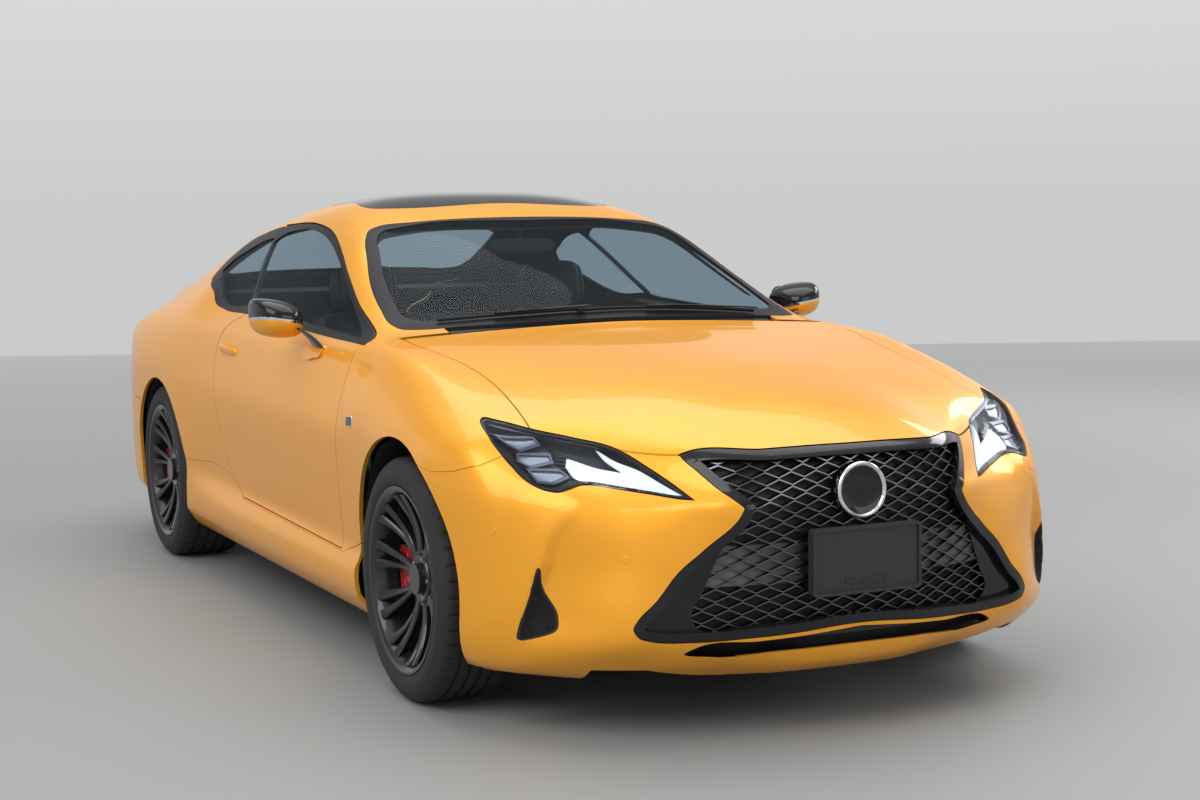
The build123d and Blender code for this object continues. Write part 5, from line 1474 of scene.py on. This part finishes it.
def on_wheel(a, b, c):
    """A point by its sideways, upward and towards-the-driver distance from the wheel's centre."""
    return tuple(wheel_hub + Vector((1, 0, 0)) * a + up_way * b + driver_way * c)


rim_points = []
for k, (c, s) in enumerate(circle(96)):
    grip = 1.0 + (0.10 if abs(math.sin(2 * (2 * math.pi * k / 96))) > 0.9 else 0.0)
    for c2, s2 in circle(16):
        r = 180 + 13.5 * grip * c2
        rim_points.append(on_wheel(r * c, r * s, 14.5 * grip * s2))
rim_faces = [[k * 16 + j, k * 16 + (j + 1) % 16, ((k + 1) % 96) * 16 + (j + 1) % 16, ((k + 1) % 96) * 16 + j]
             for k in range(96) for j in range(16)]
rim = place("steering_rim", mesh_of(rim_points, rim_faces), "steering_wheel", LEATHER,
            ["steering_wheel"])
soft(rim, 80)
for name, (a0, b0), (a1, b1) in (("left", (48, 8), (172, 18)), ("right", (-48, 8), (-172, 18)),
                                 ("lower", (0, -40), (0, -172))):
    rings = []
    for t in (k / 6 for k in range(7)):
        cx, cz = a0 + (a1 - a0) * t, b0 + (b1 - b0) * t
        wide = 24 - 8 * math.sin(math.pi * t)
        across, up = (wide, 0) if name == "lower" else (0, wide)
        rings.append([on_wheel(cx + across * c, cz + up * c, -8 + 7 * s) for c, s in circle(16)])
    soft(place(f"steering_spoke_{name}", loft(rings), "steering_wheel", DARK_CHROME), 60)
boss = pillow((66, 58, 26), power=3.2, crown=8, cuts=12)
boss_turn = Matrix(((1, 0, 0), (0, up_way.y, driver_way.y), (0, up_way.z, driver_way.z)))
boss.transform(Matrix.Translation(wheel_hub * 0.001) @ boss_turn.to_4x4())
soft(place("steering_boss", boss, "steering_wheel", LEATHER), 80)
for side, sign in SIDES:
    path = [on_wheel(sign * 26, 6, -70), on_wheel(sign * 90, 12, -62), on_wheel(sign * 150, 18, -52)]
    bar_along(f"column_stalk_{side}", path, 6.5, PLASTIC)

# inside mirror
glass = prism("y", rounded(108, 24, 20, 8) + [0, 1206], -168.5, -166)
soft(place("inside_mirror_glass", glass, "car_body", CHROME), 30)
case = posed(pillow((120, 27, 9), power=3.6, cuts=12), (0, -177, 1206), 90)
soft(place("inside_mirror_case", case, "car_body", PLASTIC, ["inside_mirror"]), 80)
stem = loft([[(w * c, y + w * s, z) for c, s in circle(16)]
             for y, z, w in ((-172, 1200, 9), (-164, 1236, 8), (-158, 1254, 12), (-156, 1271, 20))])
soft(place("inside_mirror_stem", stem, "car_body", PLASTIC), 60)

# door cards
for side, sign in SIDES:
    rest = posed(pillow((34, 290, 26), power=4, cuts=16), (sign * 796, -120, 640))
    cushion(f"door_armrest_{side}", rest, body=f"door_{side}")
    bits = merged([box_mesh((798, 826), (-520, 180), (392, 470)), box_mesh((804, 824), (-560, 240), (742, 756))])
    soft(place(f"door_pocket_{side}", on_side(bits, sign), f"door_{side}", PLASTIC), 30, 6, 3)
    speaker = fitting([(78, -14), (78, 5), (72, 8), (66, 5), (64, 3), (40, 5), (1, 6)], 64,
                      (814 * sign, -600, 470), (-sign, 0, 0))
    soft(place(f"door_speaker_{side}", speaker, f"door_{side}", LINER), 40)
    path = [(sign * 812, -330, 770), (sign * 797, -310, 772), (sign * 795, -240, 774), (sign * 812, -222, 776)]
    bar_along(f"door_pull_{side}", path, 6, CHROME, f"door_{side}")

# cowl tray with its drain slots
cowl_bits = [box_mesh((-556, 556), (-1003, -902), (906, 921))]
cowl_bits += [box_mesh((-520 + 29 * k, -512 + 29 * k), (-990, -925), (921, 927)) for k in range(36)]
soft(place("cowl_tray", merged(cowl_bits), "car_body", PLASTIC, ["cowl_panel"]), 30, 1.5)
lip = carve(layer(14, 28), keep(box_mesh((-548, 548), (-921, -860), (900, 1100))))
smooth_piece("cowl_lip", lip, "car_body", PLASTIC)

# wipers
for name, path in (("left", [(505, -905), (300, -900), (60, -902), (-120, -905)]),
                   ("right", [(-90, -898), (-280, -893), (-480, -878), (-560, -866)])):
    blade, arm = [], []
    for t in (k / 24 for k in range(25)):
        x0 = path[0][0] + (path[-1][0] - path[0][0]) * t
        y0 = np.interp(-x0, *zip(*[(-a, b) for a, b in path])) + 26
        spot, normal = on_skin(x0, y0, 990)
        at = spot * 1000
        back = Vector((0, 1, 0))
        blade.append([tuple(at + normal * (9 + 6 * s) + back * (4 * c)) for c, s in circle(10)])
        start = at + Vector((0, -14 * (1 - t), 0))
        arm.append([tuple(start + normal * (20 - 8 * t + 3.4 * s) + back * ((9 - 4 * t) * c))
                    for c, s in circle(10)])
    soft(place(f"wiper_blade_{name}", loft(blade), "car_body", PLASTIC), 50)
    soft(place(f"wiper_arm_{name}", loft(arm[:16]), "car_body", GLOSS), 50)

# under the bonnet
line = outline([(-1740, 560), (-1740, 700), (-1710, 745), (-1600, 757), (-1150, 748), (-1030, 720), (-1000, 660),
                (-1000, 560, 0)], 20)
cover = [prism("x", line, -190, 190)]
cover += [prism("x", [(-1690, 740), (-1690, 758), (-1120, 755), (-1120, 740)], x - 8, x + 8)
          for x in range(-135, 180, 45)]
soft(place("engine_cover", merged(cover), "car_body", PLASTIC), 40, 6, 3)
engine = [box_mesh((-236, 236), (-1700, -1000), (320, 560)), box_mesh((-150, 150), (-1745, -1700), (340, 640))]
for k in range(6):
    for sign in (-1, 1):
        engine.append(fitting([(24, 0), (24, 46), (20, 50), (1, 50)], 24, (sign * 190, -1640 + 120 * k, 560),
                              Vector((sign * 0.3, 0, 1)).normalized()))
soft(place("engine_block", merged(engine), "car_body", CAST, ["engine"]), 35, 6)
boxes = [box_mesh((470, 640), (-1080, -970), (560, 760)), box_mesh((-640, -500), (-1110, -980), (560, 770)),
         box_mesh((300, 460), (-1990, -1830), (560, 720)), box_mesh((-380, 380), (-2150, -2080), (640, 680))]
soft(place("bay_boxes", merged(boxes), "car_body", PLASTIC), 35, 10, 3)
strut_top = [(62, 0), (62, 12), (54, 20), (30, 24), (12, 26), (12, 36), (1, 36)]
caps = [fitting(strut_top, 48, (x, -1422, 700), (0, 0, 1)) for x in (-430, 430)]
caps += [fitting([(28, -4), (28, 12), (25, 16), (8, 17), (1, 17)], 10, spot, (0, 0, 1))
         for spot in ((560, -1020, 760), (-570, -1040, 770), (60, -1300, 750))]
soft(place("bay_caps", merged(caps), "car_body", CAST), 35)
bar_along("intake_hose", [(380, -1830, 650), (370, -1780, 690), (300, -1720, 700), (230, -1690, 690),
                          (150, -1680, 690)], 30, PLASTIC, sides=24)
bar_along("coolant_hose", [(-300, -2060, 560), (-300, -1960, 600), (-240, -1860, 610), (-160, -1790, 600),
                           (-120, -1745, 590)], 20, LINER, sides=20)

# door hinges: an arm on the pillar and a knuckle in the door, each clear of the other's swing
hinge_arms, hinge_knuckles = [], []
for z in HINGE_Z:
    hinge_arms.append(box_mesh((745, 838), (-794, -782), (z - 13, z + 13)))
    hinge_arms.append(box_mesh((745, 753), (-812, -764), (z - 24, z + 24)))
    hinge_knuckles.append(box_mesh((850, 873), (-796, -780), (z - 12, z + 12)))
soft(place("door_hinge_arms", both_sides(merged(hinge_arms)), "car_body", STEEL, ["door_hinges"]), 30, 1.2)
for side, sign in SIDES:
    knuckle = on_side(merged(hinge_knuckles), sign)
    soft(place(f"door_hinge_knuckles_{side}", knuckle, f"door_{side}", STEEL), 30, 1.2)

# splash plates inboard of each wheel, at the low ends of the arches, and a ring over each rear wheel's liner
plates = [box_mesh((x, x + 6), (axle_y + way * 365 - 70, axle_y + way * 365 + 70), (164, 330))
          for x, axle_y in ((465, FRONT_AXLE), (600, REAR_AXLE)) for way in (1, -1)]
plates.append(carve(drum(374, 600, 880, REAR_AXLE, AXLE_Z),
                    drop(drum(367.5, 590, 890, REAR_AXLE, AXLE_Z),
                         box_mesh((500, 1000), (800, 1800), (-100, 300)))))
soft(place("wheel_arch_splash_plates", both_sides(merged(plates)), "car_body", LINER), 30)

# finishes of the pieces kept from the model
FINISH = {"floor_pan": LINER, "wheel_liners": LINER, "firewall": PLASTIC, "front_frame": CAST, "front_axle": CAST,
          "rear_axle": CAST, "front_knuckle_left": CAST, "front_knuckle_right": CAST, "steering_column": PLASTIC,
          "parcel_shelf": TRIM}
# beyond this half width, in metres, a hub's outer face shows through the wheel and takes its colour
HUB_FACE = {"front_knuckle_left": 0.8465, "front_knuckle_right": 0.8465, "rear_axle": 0.8675}
for name, mat in FINISH.items():
    mesh = bpy.data.objects[name].data
    mesh.materials.clear()
    mesh.materials.append(mat)
    if name in HUB_FACE:
        mesh.materials.append(RIM)
    for p in mesh.polygons:
        p.material_index = int(abs(p.center.x) > HUB_FACE.get(name, math.inf))

# ---------------------------------------------------------------- studio
YAW, PITCH, ROLL = 0.4381, -0.0932, -0.0134     # of the camera, solved from the photo
HALF_FLOOR = 12.4
FLOOR = material("studio_floor", (0.31, 0.315, 0.31), rough=0.6, grain=(90, 0.02), mottle=(0.35, 0.07))
cos_yaw, sin_yaw = math.cos(YAW), math.sin(YAW)
corners = [(HALF_FLOOR * (a * cos_yaw + b * sin_yaw), HALF_FLOOR * (-a * sin_yaw + b * cos_yaw))
           for a, b in ((-1, -1), (1, -1), (1, 1), (-1, 1))]
floor_mesh = bpy.data.meshes.new("floor")
floor_mesh.from_pydata([(x, y, 0.0) for x, y in corners], [], [[0, 3, 2, 1]])
# painted light: the floor's colour grows paler with distance from the car, a painted lightening of the far floor
tree = FLOOR.node_tree
shader = tree.nodes["Principled BSDF"]
reach = add_node(tree, "VectorMath", {"operation": "LENGTH"})
join(tree, add_node(tree, "TexCoord"), "Object", reach, 0)
spread = add_node(tree, "MapRange", From_Min=4.0, From_Max=14.0)
join(tree, reach, "Value", spread, "Value")
# painted lightening: mixes the floor's colour towards a paler grey with distance
painted_far_light = add_node(tree, "Mix", {"data_type": "RGBA"}, B=(0.66, 0.665, 0.66, 1))
join(tree, spread, "Result", painted_far_light, "Factor")
tree.links.new(shader.inputs["Base Color"].links[0].from_socket, painted_far_light.inputs["A"])
join(tree, painted_far_light, "Result", shader, "Base Color")
floor_mesh.materials.append(FLOOR)
floor = bpy.data.objects.new("studio_floor", floor_mesh)
bpy.context.scene.collection.objects.link(floor)

scene = bpy.context.scene
world = bpy.data.worlds.new("studio")
world.use_nodes = True
sky = world.node_tree
height = add_node(sky, "SeparateXYZ")
join(sky, add_node(sky, "TexCoord"), "Generated", height, "Vector")


def sky_light(background, strength, stops):
    """Colours a background by height, from (height, colour) stops."""
    ramp = add_node(sky, "ValToRGB")
    for k, (position, color) in enumerate(stops):
        stop = ramp.color_ramp.elements[k] if k < 2 else ramp.color_ramp.elements.new(position)
        stop.position, stop.color = position, (*color, 1)
    join(sky, height, "Z", ramp, "Fac")
    join(sky, ramp, "Color", background, "Color")
    set_inputs(background, Strength=strength)


# what the camera, gloss and glass see of the world, and what lights the car
backdrop, shade = sky.nodes["Background"], add_node(sky, "Background")
sky_light(backdrop, 1.0, [(0.0, (0.59, 0.60, 0.60)), (0.20, (0.78, 0.79, 0.80))]
          + [(z, (tone, tone * 1.01, tone * 1.03)) for z,
             tone in ((0.34, 0.42), (0.55, 0.30), (0.8, 0.75), (1.0, 0.95))])
sky_light(shade, 0.8, [(0.02, (0.24, 0.245, 0.255)), (0.85, (0.95, 0.97, 1.0)), (0.25, (0.62, 0.64, 0.67))])
rays = add_node(sky, "LightPath")
seen = [add_node(sky, "Math", {"operation": "MAXIMUM"}) for _ in range(2)]
join(sky, rays, "Is Camera Ray", seen[0], 0)
join(sky, rays, "Is Glossy Ray", seen[0], 1)
join(sky, seen[0], "Value", seen[1], 0)
join(sky, rays, "Is Transmission Ray", seen[1], 1)
choose = add_node(sky, "MixShader")
join(sky, seen[1], "Value", choose, "Fac")
join(sky, shade, "Background", choose, 1)
join(sky, backdrop, "Background", choose, 2)
join(sky, choose, "Shader", sky.nodes["World Output"], "Surface")
scene.world = world


def lamp(name, spot, aim, size, power):
    """A rectangular lamp that the camera doesn't see, aimed at a point."""
    data = bpy.data.lights.new(name, "AREA")
    data.shape, data.size, data.size_y, data.energy = "RECTANGLE", size[0], size[1], power
    obj = bpy.data.objects.new(name, data)
    obj.location = spot
    obj.rotation_mode = "QUATERNION"
    obj.rotation_quaternion = (Vector(aim) - Vector(spot)).to_track_quat("-Z", "Y")
    scene.collection.objects.link(obj)
    obj.visible_camera = False


lamp("key", (-6.5, -4.5, 6.0), (0, -0.6, 0.4), (7, 5), 360)
lamp("top", (0.8, 0.6, 7.0), (0, 0, 0), (9, 7), 290)
lamp("front", (2.5, -9.0, 3.6), (0, -1.5, 0.6), (7, 3), 110)
lamp("far_side", (7.0, 1.0, 4.5), (0, 0, 0.5), (5, 2), 160)

# the camera's place, focal length in pixels of the photo, and turn were solved from the photo
PHOTO_WIDTH, PHOTO_HEIGHT, FOCAL = 1200, 800, 2036.5618
SENSOR = 36
eye = bpy.data.cameras.new("camera")
eye.sensor_width = SENSOR
eye.lens = FOCAL / PHOTO_WIDTH * SENSOR
eye.clip_end = 200
camera = bpy.data.objects.new("camera", eye)
ahead = Vector((sin_yaw * math.cos(PITCH), cos_yaw * math.cos(PITCH), math.sin(PITCH)))
right = Vector((cos_yaw, -sin_yaw, 0))
above = right.cross(ahead)
right_rolled = right * math.cos(ROLL) + above * math.sin(ROLL)
above_rolled = above * math.cos(ROLL) - right * math.sin(ROLL)
turn = Matrix((right_rolled, above_rolled, -ahead)).transposed().to_4x4()
camera.matrix_world = Matrix.Translation((-2.7159, -6.5877, 1.3258)) @ turn
scene.collection.objects.link(camera)
scene.camera = camera
scene.view_settings.view_transform = "Standard"
scene.render.engine = "CYCLES"
scene.cycles.samples = 160
scene.render.resolution_x, scene.render.resolution_y = PHOTO_WIDTH, PHOTO_HEIGHT
